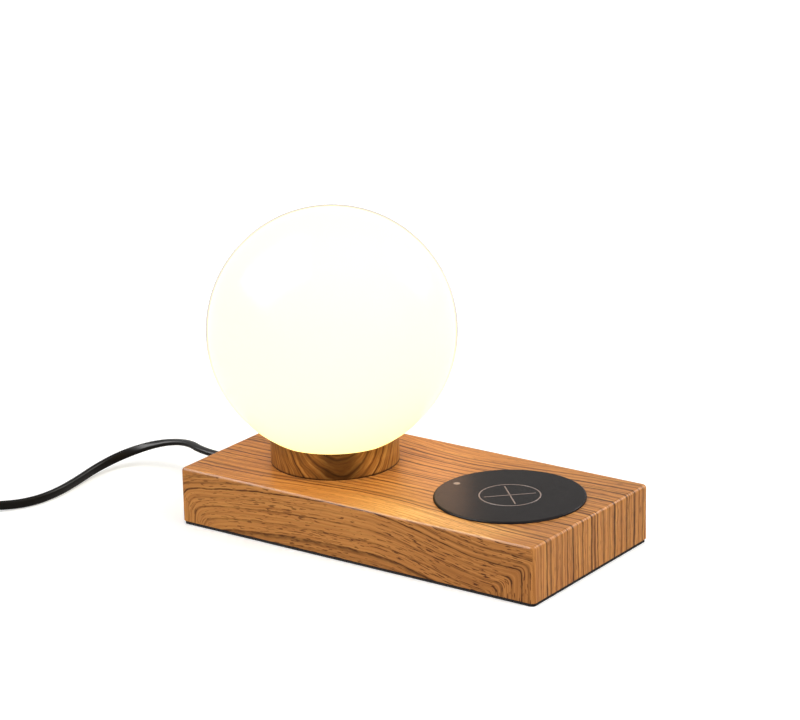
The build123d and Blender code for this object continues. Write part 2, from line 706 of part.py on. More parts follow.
def holder_bracket():
    """The steel strap bent into a U that carries the ceramic holder."""
    half = (BRACKET_INSIDE + BRACKET_THICKNESS) / 2
    low = GALLERY_TOP + BRACKET_THICKNESS / 2
    high = HOLDER_BOTTOM + HOLDER_FOOT_HEIGHT - BRACKET_BELOW_HEAD
    path = FilletPolyline((-half, high), (-half, low), (half, low), (half, high), radius=BRACKET_BEND)
    strap = extrude(Plane.XZ * trace(path, line_width=BRACKET_THICKNESS), BRACKET_WIDTH / 2, both=True)
    strap -= disc(TUBE_RADIUS + TUBE_CLEARANCE, BRACKET_THICKNESS, GALLERY_TOP)
    return at_globe(strap - holder_screw_holes(HOLDER_SCREW_RADIUS + SCREW_CLEARANCE))


def holder_screw_z():
    return HOLDER_BOTTOM + HOLDER_FOOT_HEIGHT / 2


def holder_screw_holes(radius):
    """A cross hole through both legs of the bracket."""
    reach = BRACKET_INSIDE / 2 + BRACKET_THICKNESS
    return Pos(-reach, 0, holder_screw_z()) * Rot(0, 90, 0) * disc(radius, 2 * reach)


def holder_body():
    """The ceramic lamp holder, with a slot for each pin and a recess where the leads spread."""
    foot_width = BRACKET_INSIDE - 2 * HOLDER_FIT
    foot = slab(foot_width, BRACKET_WIDTH, HOLDER_FOOT_HEIGHT, HOLDER_BOTTOM, HOLDER_FOOT_ROUND)
    head = disc(HOLDER_RADIUS, HOLDER_HEAD_HEIGHT, HOLDER_BOTTOM + HOLDER_FOOT_HEIGHT)
    head = chamfer(head.faces().sort_by(Axis.Z)[-1].edges(), HOLDER_EDGE)
    body = foot + head
    slot = slab(SLOT_WIDTH, SLOT_LENGTH, SLOT_DEPTH, HOLDER_TOP - SLOT_DEPTH)
    body -= [Pos(side * PIN_SPACING / 2, 0, 0) * slot for side in (-1, 1)]
    lead_hole = disc(LEAD_HOLE_RADIUS, HOLDER_TOP - SLOT_DEPTH - HOLDER_BOTTOM, HOLDER_BOTTOM)
    body -= [Pos(side * PIN_SPACING / 2, 0, 0) * lead_hole for side in (-1, 1)]
    recess_length = PIN_SPACING + 2 * LEAD_HOLE_RADIUS
    body -= slab(recess_length, 2 * LEAD_HOLE_RADIUS, HOLDER_RECESS_DEPTH, HOLDER_BOTTOM)
    bite = Pos(foot_width / 2 - HOLDER_SCREW_BITE, 0, holder_screw_z()) * Rot(0, 90, 0)
    bite *= disc(HOLDER_SCREW_RADIUS, HOLDER_SCREW_BITE)
    return at_globe(body - [bite, Rot(0, 0, 180) * bite])


def holder_contacts():
    """Two spring leaves in each slot, one each side of the pin."""
    offset = (SLOT_WIDTH - CONTACT_THICKNESS) / 2
    width = SLOT_LENGTH - 2 * CONTACT_SIDE_GAP
    leaf = slab(CONTACT_THICKNESS, width, CONTACT_HEIGHT, HOLDER_TOP - SLOT_DEPTH)
    places = [side * PIN_SPACING / 2 + way * offset for side in (-1, 1) for way in (-1, 1)]
    return group(at_globe(Pos(x, 0, 0) * leaf) for x in places)


def holder_screws():
    length = BRACKET_THICKNESS + HOLDER_SCREW_BITE + HOLDER_FIT
    screw = pan_head_screw(
        HOLDER_SCREW_RADIUS, HOLDER_SCREW_HEAD_RADIUS, HOLDER_SCREW_HEAD_HEIGHT, length
    )
    right = Pos(BRACKET_INSIDE / 2 + BRACKET_THICKNESS, 0, holder_screw_z()) * Rot(0, 90, 0) * screw
    return group([at_globe(right), at_globe(Rot(0, 0, 180) * right)])


# Bulb


def bulb_base():
    """The plastic cap of the bulb, flared up to its cover."""
    flare = BULB_BOTTOM + BULB_FOOT_HEIGHT
    outline = Polyline(
        (0, BULB_BOTTOM),
        (BULB_FOOT_RADIUS, BULB_BOTTOM),
        (BULB_FOOT_RADIUS, flare),
        (BULB_RADIUS, BULB_COVER_BOTTOM),
        (0, BULB_COVER_BOTTOM),
        close=True,
    )
    body = turned(make_face(outline))
    body -= bulb_pin_loops(PIN_WIRE_RADIUS)
    return at_globe(body)


def bulb_pin_loops(radius):
    """Two loops of wire that hang from the cap."""
    bottom = BULB_BOTTOM - PIN_LENGTH + PIN_LOOP_RADIUS
    top = BULB_BOTTOM + PIN_ROOT
    left = Line((-PIN_LOOP_RADIUS, top), (-PIN_LOOP_RADIUS, bottom))
    turn = ThreePointArc((-PIN_LOOP_RADIUS, bottom), (0, bottom - PIN_LOOP_RADIUS), (PIN_LOOP_RADIUS, bottom))
    right = Line((PIN_LOOP_RADIUS, bottom), (PIN_LOOP_RADIUS, top))
    path = Plane.YZ * Wire([left, turn, right])
    start = Plane(origin=path @ 0, z_dir=path % 0)
    loop = sweep(start * Circle(radius), path=path)
    return [Pos(side * PIN_SPACING / 2, 0, 0) * loop for side in (-1, 1)]


def bulb_pins():
    return group(at_globe(loop) for loop in bulb_pin_loops(PIN_WIRE_RADIUS))


def bulb_cover():
    """The frosted cover of the bulb, a thin capsule open at its foot."""
    inner = BULB_RADIUS - BULB_COVER_WALL
    straight = BULB_COVER_BOTTOM + BULB_COVER_LENGTH - BULB_RADIUS
    outer_solid = disc(BULB_RADIUS, straight - BULB_COVER_BOTTOM, BULB_COVER_BOTTOM)
    outer_solid += Pos(0, 0, straight) * Sphere(BULB_RADIUS)
    inner_solid = disc(inner, straight - BULB_COVER_BOTTOM, BULB_COVER_BOTTOM)
    inner_solid += Pos(0, 0, straight) * Sphere(inner)
    return at_globe(outer_solid - inner_solid)


def bulb_board():
    """The upright board inside the cover, with chips on both faces."""
    height = BULB_COVER_LENGTH - LED_BOARD_MARGIN
    board = slab(LED_BOARD_WIDTH, LED_BOARD_THICKNESS, height, BULB_COVER_BOTTOM)
    pitch = height / LED_CHIPS
    thick = LED_BOARD_THICKNESS + 2 * LED_CHIP_HEIGHT
    chips = [
        slab(LED_CHIP, thick, LED_CHIP, BULB_COVER_BOTTOM + (k + 0.5) * pitch - LED_CHIP / 2)
        for k in range(LED_CHIPS)
    ]
    return at_globe(board + chips)


# Charging pad


def boss_places():
    return spaced_round(PAD_BOSSES, PAD_BOSS_CIRCLE, 0.0)


def pad_cover():
    """The pad that shows, with its flange on the wood and its skirt through the roof."""
    flange = disc(PAD_RADIUS, PAD_PROUD, BASE_HEIGHT)
    flange = fillet(flange.edges().sort_by(Axis.Z)[-1], PAD_EDGE_ROUND)
    skirt = disc(SKIRT_RADIUS, SKIRT_DEPTH, SKIRT_BOTTOM)
    cover = flange + skirt - disc(SKIRT_BORE_RADIUS, PAD_CEILING - SKIRT_BOTTOM, SKIRT_BOTTOM)
    boss = disc(PAD_BOSS_RADIUS, PAD_BOSS_HEIGHT, CHARGER_BOARD_TOP)
    boss -= disc(SMALL_SCREW_RADIUS, PAD_BOSS_HEIGHT, CHARGER_BOARD_TOP)
    cover += [Pos(x, y, 0) * boss for x, y in boss_places()]
    hole = disc(INDICATOR_RADIUS + INDICATOR_FIT, PAD_PLATE, PAD_CEILING)
    return at_pad(cover - Pos(-INDICATOR_FROM_PAD, 0, 0) * hole)


def indicator_lens():
    """The light pipe of the charging lamp, flush with the pad."""
    bottom = CHARGER_BOARD_TOP + CHARGER_LED_HEIGHT + INDICATOR_LED_GAP
    pipe = disc(INDICATOR_RADIUS, PAD_TOP - bottom, bottom)
    pipe += disc(INDICATOR_FLANGE_RADIUS, INDICATOR_FLANGE_HEIGHT, PAD_CEILING - INDICATOR_FLANGE_HEIGHT)
    return at_pad(Pos(-INDICATOR_FROM_PAD, 0, 0) * pipe)


def lock_ring():
    """The ring nut under the roof that holds the pad down."""
    low = ROOF_UNDER - LOCK_RING_HEIGHT
    body = ring(LOCK_RING_RADIUS, SKIRT_RADIUS + LOCK_RING_FIT, LOCK_RING_HEIGHT, low)
    grip = disc(LOCK_RING_GRIP_RADIUS, LOCK_RING_HEIGHT, low)
    half_pitch = 180.0 / LOCK_RING_GRIPS
    places = spaced_round(LOCK_RING_GRIPS, LOCK_RING_RADIUS + LOCK_RING_GRIP_OUT, half_pitch)
    body -= [Pos(x, y, 0) * grip for x, y in places]
    return at_pad(body)


def pad_cap():
    """The cap that closes the skirt from below, with its vents and its rim."""
    radius = SKIRT_BORE_RADIUS - CAP_FIT
    cap = disc(radius, CAP_THICKNESS, SKIRT_BOTTOM)
    cap += ring(radius, radius - CAP_RIM, CAP_RIM_HEIGHT, SKIRT_BOTTOM + CAP_THICKNESS)
    vent = Pos(0, 0, SKIRT_BOTTOM) * extrude(SlotOverall(CAP_VENT_LENGTH, CAP_VENT_WIDTH), CAP_THICKNESS)
    first = -(CAP_VENTS - 1) / 2 * CAP_VENT_PITCH
    cap -= [Pos(0, first + k * CAP_VENT_PITCH, 0) * vent for k in range(CAP_VENTS)]
    notch = slab(2 * CAP_NOTCH_LENGTH, CAP_NOTCH_WIDTH, CAP_RIM_HEIGHT + CAP_THICKNESS, SKIRT_BOTTOM)
    notch = Pos(-radius, 0, 0) * notch
    return at_pad(cap - notch)


def hung(shape_height, board_bottom):
    """The height at which a component under a board starts."""
    return board_bottom - shape_height


def charger_board():
    board = disc(CHARGER_BOARD_RADIUS, CHARGER_BOARD_THICKNESS, CHARGER_BOARD_BOTTOM)
    hole = disc(SMALL_SCREW_RADIUS + SCREW_CLEARANCE, CHARGER_BOARD_THICKNESS, CHARGER_BOARD_BOTTOM)
    board -= [Pos(x, y, 0) * hole for x, y in boss_places()]
    led = slab(CHARGER_LED_LENGTH, CHARGER_LED_WIDTH, CHARGER_LED_HEIGHT, CHARGER_BOARD_TOP)
    chip_low = hung(CHARGER_CHIP_HEIGHT, CHARGER_BOARD_BOTTOM)
    chip = slab(CHARGER_CHIP_SIDE, CHARGER_CHIP_SIDE, CHARGER_CHIP_HEIGHT, chip_low, CHIP_ROUND)
    choke_low = hung(CHARGER_CHOKE_HEIGHT, CHARGER_BOARD_BOTTOM)
    choke = slab(CHARGER_CHOKE_SIDE, CHARGER_CHOKE_SIDE, CHARGER_CHOKE_HEIGHT, choke_low, CHIP_ROUND)
    can = disc(CHARGER_CAN_RADIUS, CHARGER_CAN_HEIGHT, hung(CHARGER_CAN_HEIGHT, CHARGER_BOARD_BOTTOM))
    can_x, can_y = CHARGER_CAN_PLACE
    board += [Pos(-INDICATOR_FROM_PAD, 0, 0) * led, chip, Pos(*CHARGER_CHOKE_PLACE, 0) * choke]
    board += [Pos(can_x + k * CHARGER_CAN_PITCH, can_y, 0) * can for k in range(CHARGER_CANS)]
    return at_pad(board)


def charger_board_screws():
    low = CHARGER_BOARD_BOTTOM
    screw = pan_head_screw(
        SMALL_SCREW_RADIUS,
        SMALL_SCREW_HEAD_RADIUS,
        SMALL_SCREW_HEAD_HEIGHT,
        CHARGER_BOARD_THICKNESS + PAD_BOSS_HEIGHT - PAD_BOSS_BOTTOM_GAP,
    )
    return group(at_pad(turned_back((x, y, low)) * screw) for x, y in boss_places())


def charger_ferrite():
    top = PAD_CEILING - CHARGER_WIRE - 2 * LAYER_GAP
    return at_pad(disc(FERRITE_RADIUS, FERRITE_THICKNESS, top - FERRITE_THICKNESS))


def charger_coil():
    """The flat winding under the pad, one wire on half circles that grow steadily."""
    level = PAD_CEILING - LAYER_GAP - CHARGER_WIRE / 2
    edges = []
    start = Vector(CHARGER_COIL_BORE, 0, level)
    for k in range(CHARGER_HALF_TURNS):
        side = 1 if k % 2 == 0 else -1
        radius = CHARGER_COIL_BORE + k * CHARGER_WIRE_PITCH / 2
        middle = Vector(start.X - side * radius, side * radius, level)
        end = Vector(start.X - 2 * side * radius, 0, level)
        edges.append(ThreePointArc(start, middle, end))
        start = end
    path = Wire(edges)
    section = Plane(origin=path @ 0, z_dir=path % 0) * Rectangle(CHARGER_WIRE, CHARGER_WIRE)
    return at_pad(sweep(section, path=path))


# Power supply and terminals


def transformer():
    """A core with its winding standing out on two sides."""
    low = hung(TRANSFORMER_HEIGHT, POWER_BOARD_BOTTOM)
    core = slab(TRANSFORMER_SIZE, TRANSFORMER_SIZE, TRANSFORMER_HEIGHT, low, POWER_BOARD_ROUND)
    length = TRANSFORMER_SIZE - 2 * TRANSFORMER_BOBBIN
    width = TRANSFORMER_SIZE + 2 * TRANSFORMER_BOBBIN
    height = TRANSFORMER_HEIGHT - TRANSFORMER_BOBBIN
    bobbin = slab(length, width, height, low + TRANSFORMER_BOBBIN / 2, POWER_BOARD_ROUND)
    return Pos(*TRANSFORMER_PLACE, 0) * (core + bobbin)


def power_board():
    """The supply's board, with its parts on the underside."""
    bottom = POWER_BOARD_BOTTOM
    board = slab(POWER_BOARD_LENGTH, POWER_BOARD_WIDTH, POWER_BOARD_THICKNESS, bottom, POWER_BOARD_ROUND)
    can = disc(CAPACITOR_RADIUS, CAPACITOR_HEIGHT, hung(CAPACITOR_HEIGHT, bottom))
    can = fillet(can.faces().sort_by(Axis.Z)[0].edges(), CAPACITOR_ROUND)
    can_x, can_y = CAPACITOR_PLACE
    fuse = Rot(0, 90, 0) * Cylinder(FUSE_RADIUS, FUSE_LENGTH)
    fuse = Pos(*FUSE_PLACE, bottom + FUSE_SUNK - FUSE_RADIUS) * fuse
    chip_low = hung(POWER_CHIP_HEIGHT, bottom)
    chip = slab(POWER_CHIP_LENGTH, POWER_CHIP_WIDTH, POWER_CHIP_HEIGHT, chip_low, CHIP_ROUND)
    board += [transformer(), fuse, Pos(*POWER_CHIP_PLACE, 0) * chip]
    board += [Pos(can_x, can_y + k * CAPACITOR_PITCH, 0) * can for k in range(CAPACITORS)]
    board = Pos(POWER_BOARD_X, 0, 0) * Rot(0, 0, 90) * board
    hole = disc(SMALL_SCREW_RADIUS + SCREW_CLEARANCE, POWER_BOARD_THICKNESS, bottom)
    return board - [Pos(x, y, 0) * hole for x, y in power_board_corners()]


def power_board_spacers():
    low = ROOF_UNDER - SPACER_HEIGHT
    spacer = ring(SPACER_RADIUS, SMALL_SCREW_RADIUS + SCREW_CLEARANCE, SPACER_HEIGHT, low)
    return group(Pos(x, y, 0) * spacer for x, y in power_board_corners())


def power_board_screws():
    return group(
        turned_back((x, y, POWER_BOARD_BOTTOM)) * small_screw() for x, y in power_board_corners()
    )


def terminal_ways():
    """How far each way of the strip lies from its middle."""
    pitch = TERMINAL_LENGTH / TERMINAL_WAYS
    return [(k - (TERMINAL_WAYS - 1) / 2) * pitch for k in range(TERMINAL_WAYS)]


def terminal_wells():
    """The screw wells, one at each end of each way."""
    return [(side * TERMINAL_WIDTH / 4, y) for y in terminal_ways() for side in (-1, 1)]


def at_terminal(shape):
    return Pos(TERMINAL_X, TERMINAL_Y, 0) * shape


def terminal_block():
    """The terminal strip under the roof, with a bore along each way and a well for each screw."""
    axis_z = TERMINAL_BOTTOM + TERMINAL_HEIGHT / 2
    body = slab(TERMINAL_WIDTH, TERMINAL_LENGTH, TERMINAL_HEIGHT, TERMINAL_BOTTOM, TERMINAL_ROUND)
    bore = Pos(-TERMINAL_WIDTH / 2, 0, axis_z) * Rot(0, 90, 0) * disc(TERMINAL_BORE_RADIUS, TERMINAL_WIDTH)
    body -= [Pos(0, y, 0) * bore for y in terminal_ways()]
    well = disc(TERMINAL_WELL_RADIUS, axis_z - TERMINAL_BOTTOM, TERMINAL_BOTTOM)
    body -= [Pos(x, y, 0) * well for x, y in terminal_wells()]
    hole = disc(SMALL_SCREW_RADIUS + SCREW_CLEARANCE, TERMINAL_HEIGHT, TERMINAL_BOTTOM)
    return at_terminal(body) - terminal_mount() * hole


def terminal_mount():
    """The place of the strip's own fixing screw, between two ways."""
    return Pos(TERMINAL_X, TERMINAL_Y + TERMINAL_LENGTH / TERMINAL_WAYS / 2, 0)


def terminal_screws():
    """The grub screw of each well, and the screw that holds the strip under the roof."""
    grub = disc(TERMINAL_SCREW_RADIUS, TERMINAL_SCREW_LENGTH, GRUB_LOW)
    slot = slab(2 * TERMINAL_SCREW_RADIUS, DRIVE_WIDTH, DRIVE_DEPTH, GRUB_LOW)
    grubs = [at_terminal(Pos(x, y, 0) * (grub - slot)) for x, y in terminal_wells()]
    fixing = pan_head_screw(
        SMALL_SCREW_RADIUS,
        SMALL_SCREW_HEAD_RADIUS,
        SMALL_SCREW_HEAD_HEIGHT,
        TERMINAL_HEIGHT + TERMINAL_FIXING_BITE,
    )
    fixing = terminal_mount() * turned_back((0, 0, TERMINAL_BOTTOM)) * fixing
    return group([*grubs, fixing])


# Strain relief, clamp and the cord inside the base


def strain_relief():
    """The moulded sleeve at the end face, tapered and grooved so that the cord bends gently."""
    neck = SIDE_WALL + RELIEF_BARB_GAP
    lip = RELIEF_NECK_RADIUS + RELIEF_NECK_LIP
    bore = CORD_RADIUS + RELIEF_BORE_FIT
    outline = Polyline(
        (bore, -neck - RELIEF_BARB),
        (RELIEF_NECK_RADIUS, -neck - RELIEF_BARB),
        (lip, -neck),
        (RELIEF_NECK_RADIUS, -neck),
        (RELIEF_NECK_RADIUS, 0),
        (RELIEF_FLANGE_RADIUS, 0),
        (RELIEF_FLANGE_RADIUS, RELIEF_FLANGE),
        (RELIEF_ROOT_RADIUS, RELIEF_FLANGE),
        (RELIEF_TIP_RADIUS, RELIEF_LENGTH),
        (bore, RELIEF_LENGTH),
        close=True,
    )
    sleeve = turned(make_face(outline))
    pitch = (RELIEF_LENGTH - RELIEF_FLANGE) / (RELIEF_GROOVES + 1)
    for k in range(RELIEF_GROOVES):
        z = RELIEF_FLANGE + (k + 1) * pitch
        share = (z - RELIEF_FLANGE) / (RELIEF_LENGTH - RELIEF_FLANGE)
        surface = RELIEF_ROOT_RADIUS + share * (RELIEF_TIP_RADIUS - RELIEF_ROOT_RADIUS)
        low = z - RELIEF_GROOVE_WIDTH / 2
        groove = ring(RELIEF_FLANGE_RADIUS, surface - RELIEF_GROOVE_DEPTH, RELIEF_GROOVE_WIDTH, low)
        sleeve -= groove
    return Pos(LEFT_END_X, EXIT_Y, EXIT_Z) * Rot(0, -90, 0) * sleeve


def cord_inlet():
    """The cord from the tip of the strain relief to where it is stripped inside the base."""
    length = INLET_END_X - RELIEF_TIP_X
    return Pos(RELIEF_TIP_X, EXIT_Y, EXIT_Z) * Rot(0, 90, 0) * disc(CORD_RADIUS, length)


def cord_clamp():
    """The saddle that presses the cord up against its block of wood."""
    inner = CORD_RADIUS + CLAMP_FIT
    outer = inner + CLAMP_THICKNESS
    width = 2 * (CORD_RADIUS + CLAMP_THICKNESS + CLAMP_EAR)
    saddle = Pos(0, CORD_RADIUS - CLAMP_THICKNESS / 2) * Rectangle(width, CLAMP_THICKNESS)
    saddle += Pos(0, CORD_RADIUS / 2) * Rectangle(2 * outer, CORD_RADIUS)
    saddle += Circle(outer)
    saddle -= Pos(0, CORD_RADIUS + outer / 2) * Rectangle(width, outer)
    saddle -= Circle(inner)
    saddle -= Pos(0, outer / 2) * Rectangle(2 * inner, outer)
    strap = extrude(Plane.YZ * saddle, CLAMP_LENGTH / 2, both=True)
    strap = Pos(CLAMP_X, EXIT_Y, EXIT_Z) * strap
    hole = disc(SMALL_SCREW_RADIUS + SCREW_CLEARANCE, CLAMP_THICKNESS, CLAMP_PAD_Z - CLAMP_THICKNESS)
    return strap - [Pos(x, y, 0) * hole for x, y in clamp_screw_places()]


def clamp_screws():
    low = CLAMP_PAD_Z - CLAMP_THICKNESS
    return group(turned_back((x, y, low)) * small_screw() for x, y in clamp_screw_places())


# Leads inside the base


def live_ways():
    """The two ways of the strip that are wired, the one nearer the cord first."""
    return [TERMINAL_Y + y for y in terminal_ways()[:0:-1]]


def board_points(x, y):
    """Where a lead is soldered under the power supply's board, and where it turns below that."""
    return [(x, y, POWER_BOARD_BOTTOM), (x, y, LEAD_LOW_Z)]


def mains_leads():
    """The cord's two cores, from where its sheath ends to the strip."""
    end = TERMINAL_X - TERMINAL_WIDTH / 4 + LEAD_PAST_SCREW
    leads = []
    for side, lane, y in zip((1, -1), MAINS_LANES, live_ways()):
        core_y = EXIT_Y + side * CORE_OFFSET
        points = [
            (INLET_END_X, core_y, EXIT_Z),
            (INLET_END_X + lane, core_y, EXIT_Z),
            (INLET_END_X + lane, y, TERMINAL_LEAD_Z),
            (end, y, TERMINAL_LEAD_Z),
        ]
        leads.append(tube_along(points, LEAD_RADIUS, "mains lead"))
    return group(leads)


def supply_leads():
    """Two leads from the strip to the power supply."""
    board_x = POWER_BOARD_X - POWER_BOARD_WIDTH / 2 + LEAD_BOARD_EDGE
    start = TERMINAL_X + TERMINAL_WIDTH / 4 - LEAD_PAST_SCREW
    leads = []
    for run, y, board_y in zip(SUPPLY_RUNS, live_ways(), SUPPLY_BOARD_Y):
        straight = TERMINAL_X + TERMINAL_WIDTH / 2 + run
        soldered, below = board_points(board_x, board_y)
        middle = ((straight + board_x) / 2, board_y, LEAD_LOW_Z)
        points = [(start, y, TERMINAL_LEAD_Z), (straight, y, TERMINAL_LEAD_Z), middle, below, soldered]
        leads.append(tube_along(points, LEAD_RADIUS, "supply lead"))
    return group(leads)


def lamp_leads():
    """Two leads from the power supply, up the threaded tube and into the lamp holder."""
    board_x = POWER_BOARD_X - POWER_BOARD_WIDTH / 2 + LEAD_BOARD_EDGE
    leads = []
    for side, board_y, before, turn_y in zip((1, -1), LAMP_BOARD_Y, LAMP_TURN_BEFORE, LAMP_TURN_Y):
        tube_x = GLOBE_X + side * LAMP_TUBE_OFFSET
        slot_x = GLOBE_X + side * PIN_SPACING / 2
        points = board_points(board_x, board_y) + [
            (tube_x + before, turn_y, LEAD_LOW_Z - LEAD_SAG),
            (tube_x, 0, LEAD_LOW_Z - LEAD_SAG / 2),
            (tube_x, 0, TOP_NUT_TOP + LEAD_BORE_FIT),
            (slot_x, 0, HOLDER_BOTTOM + HOLDER_RECESS_DEPTH - LEAD_RADIUS),
            (slot_x, 0, HOLDER_TOP - SLOT_DEPTH),
        ]
        leads.append(tube_along(points, LEAD_RADIUS, "lamp lead"))
    return group(leads)


def pad_leads():
    """Two leads from the power supply, through the notch in the pad's cap to its board."""
    board_x = POWER_BOARD_X + POWER_BOARD_WIDTH / 2 - LEAD_BOARD_EDGE - LEAD_RADIUS
    notch_x = PAD_X - SKIRT_BORE_RADIUS + CAP_FIT + CAP_NOTCH_LENGTH / 2
    leads = []
    for board_y, notch_y in zip(PAD_BOARD_Y, PAD_NOTCH_Y):
        low = LEAD_LOW_Z - LEAD_SAG
        points = board_points(board_x, board_y) + [
            (notch_x - PAD_LEAD_RUN, notch_y, low),
            (notch_x, notch_y, low),
            (notch_x, notch_y, CHARGER_BOARD_BOTTOM),
        ]
        leads.append(tube_along(points, LEAD_RADIUS, "pad lead"))
    return group(leads)


# Switch on the cord


def switch_place():
    centre = put_away(SWITCH_START + SWITCH_LENGTH / 2, 0, 0)
    return Pos(*centre) * Rot(0, 0, EDGE_HEADING)


def switch_plan(inset):
    """The waisted oval outline of the switch, drawn in by an inset."""
    half = SWITCH_LENGTH / 2 - inset
    end = SWITCH_END_WIDTH / 2 - inset
    side = SWITCH_WIDTH / 2 - inset
    with BuildSketch() as plan:
        with BuildLine():
            ThreePointArc((-half, end), (0, side), (half, end))
            Line((half, end), (half, -end))
            ThreePointArc((half, -end), (0, -side), (-half, -end))
            Line((-half, -end), (-half, end))
        make_face()
        fillet(plan.vertices(), SWITCH_CORNER_ROUND - inset)
    return plan.sketch


def switch_body():
    body = extrude(switch_plan(0), SWITCH_HEIGHT)
    body = fillet(body.faces().sort_by(Axis.Z)[-1].edges(), SWITCH_TOP_ROUND)
    body = fillet(body.faces().sort_by(Axis.Z)[0].edges(), SWITCH_BOTTOM_ROUND)
    hollow = Pos(0, 0, SWITCH_WALL) * extrude(switch_plan(SWITCH_WALL), SWITCH_HEIGHT - 2 * SWITCH_WALL)
    bore = Pos(-SWITCH_LENGTH / 2, 0, SWITCH_SPLIT) * Rot(0, 90, 0) * disc(CORD_RADIUS, SWITCH_LENGTH)
    return body - hollow - bore


def rocker_pivot_z():
    return SWITCH_HEIGHT - ROCKER_PIVOT_DROP


def switch_lower_shell():
    shell = split(switch_body(), Plane.XY.offset(SWITCH_SPLIT), keep=Keep.BOTTOM)
    post = disc(SWITCH_POST_RADIUS, SWITCH_SPLIT)
    hole = disc(SMALL_SCREW_RADIUS + SCREW_CLEARANCE, SWITCH_SPLIT)
    hole += disc(SMALL_SCREW_HEAD_RADIUS + SCREW_CLEARANCE, SWITCH_WALL)
    places = [Pos(x, 0, 0) for x in (-SWITCH_POST_X, SWITCH_POST_X)]
    shell += [place * post for place in places]
    return switch_place() * (shell - [place * hole for place in places])


def switch_grips():
    """Short upright grooves on both sides, which fade out as the sides curve away."""
    height = SWITCH_HEIGHT - SWITCH_TOP_ROUND - SWITCH_SPLIT - SWITCH_GRIP_WIDTH
    first = -(SWITCH_GRIPS - 1) / 2 * SWITCH_GRIP_PITCH
    cut = slab(SWITCH_GRIP_WIDTH, 2 * SWITCH_GRIP_DEPTH, height, SWITCH_SPLIT + SWITCH_GRIP_WIDTH / 2)
    along = [first + k * SWITCH_GRIP_PITCH for k in range(SWITCH_GRIPS)]
    return [Pos(x, side * SWITCH_WIDTH / 2, 0) * cut for x in along for side in (-1, 1)]


def switch_upper_shell():
    shell = split(switch_body(), Plane.XY.offset(SWITCH_SPLIT), keep=Keep.TOP)
    boss_height = SWITCH_HEIGHT - SWITCH_WALL - SWITCH_SPLIT
    boss = ring(SWITCH_POST_RADIUS, SMALL_SCREW_RADIUS, boss_height, SWITCH_SPLIT)
    shell += [Pos(x, 0, 0) * boss for x in (-SWITCH_POST_X, SWITCH_POST_X)]
    pivot = rocker_pivot_z()
    drop = pivot - ROCKER_CHEEK_DROP
    length = 2 * (ROCKER_CHEEK_DROP + ROCKER_CHEEK_MARGIN)
    cheek = slab(length, ROCKER_CHEEK, SWITCH_HEIGHT - SWITCH_WALL - drop, drop)
    offset = (SWITCH_WINDOW_WIDTH + ROCKER_CHEEK) / 2
    shell += [Pos(0, side * offset, 0) * cheek for side in (-1, 1)]
    shell -= switch_grips()
    shell -= slab(
        SWITCH_WINDOW_LENGTH, SWITCH_WINDOW_WIDTH, SWITCH_HEIGHT, SWITCH_SPLIT, SWITCH_WINDOW_ROUND
    )
    axle = Cylinder(ROCKER_AXLE_RADIUS + ROCKER_AXLE_FIT, ROCKER_AXLE_LENGTH + 2 * ROCKER_AXLE_END_GAP)
    return switch_place() * (shell - Pos(0, 0, pivot) * Rot(90, 0, 0) * axle)


def switch_rocker():
    """The rocker, tilted to the side that is on, with its axle."""
    half = ROCKER_LENGTH / 2
    top = SWITCH_HEIGHT + ROCKER_RISE - rocker_pivot_z()
    wing = top - ROCKER_EDGE_HEIGHT
    foot = ROCKER_BELLY_SHARE * half
    with BuildSketch() as profile:
        with BuildLine():
            Line((-half, wing), (-half, top))
            ThreePointArc((-half, top), (0, top - ROCKER_DIP), (half, top))
            Line((half, top), (half, wing))
            Line((half, wing), (foot, -ROCKER_BELLY))
            Line((foot, -ROCKER_BELLY), (-foot, -ROCKER_BELLY))
            Line((-foot, -ROCKER_BELLY), (-half, wing))
        make_face()
        fillet(profile.vertices().group_by(Axis.Y)[-1], ROCKER_EDGE_ROUND)
    body = extrude(Plane.XZ * profile.sketch, ROCKER_WIDTH / 2, both=True)
    body += Rot(90, 0, 0) * Cylinder(ROCKER_AXLE_RADIUS, ROCKER_AXLE_LENGTH)
    return switch_place() * Pos(0, 0, rocker_pivot_z()) * Rot(0, -ROCKER_TILT, 0) * body


def switch_screws():
    length = SWITCH_SPLIT - SWITCH_WALL + SWITCH_SCREW_BITE
    head = SWITCH_WALL - SWITCH_SCREW_SUNK
    screw = pan_head_screw(SMALL_SCREW_RADIUS, SMALL_SCREW_HEAD_RADIUS, head, length)
    places = [(-SWITCH_POST_X, 0, SWITCH_WALL), (SWITCH_POST_X, 0, SWITCH_WALL)]
    return group(switch_place() * turned_back(place) * screw for place in places)


# Free stretches of the cord


def cord_to_switch():
    """From the strain relief down onto the table and out past the photograph's left edge."""
    entry = SWITCH_START
    points = [
        (RELIEF_TIP_X, EXIT_Y, EXIT_Z),
        (RELIEF_TIP_X - 15.0, EXIT_Y, EXIT_Z),
        (-183.5, 17.0, 17.8),
        (-205.5, 15.0, 13.6),
        (-221.0, 0.5, 8.0),
        (-225.8, -21.0, 4.3),
        (-222.8, -44.0, CORD_RADIUS),
        (-219.3, -67.0, CORD_RADIUS),
        (-221.5, -89.0, CORD_RADIUS),
        (-233.0, -106.5, 3.6),
        put_away(entry - 17, 0, SWITCH_SPLIT),
        put_away(entry, 0, SWITCH_SPLIT),
    ]
    return tube_along([Vector(p) for p in points], CORD_RADIUS, "cord to switch")


def coil_frame(along, across, z):
    return put_away(COIL_AHEAD + along, COIL_ASIDE + across, z)


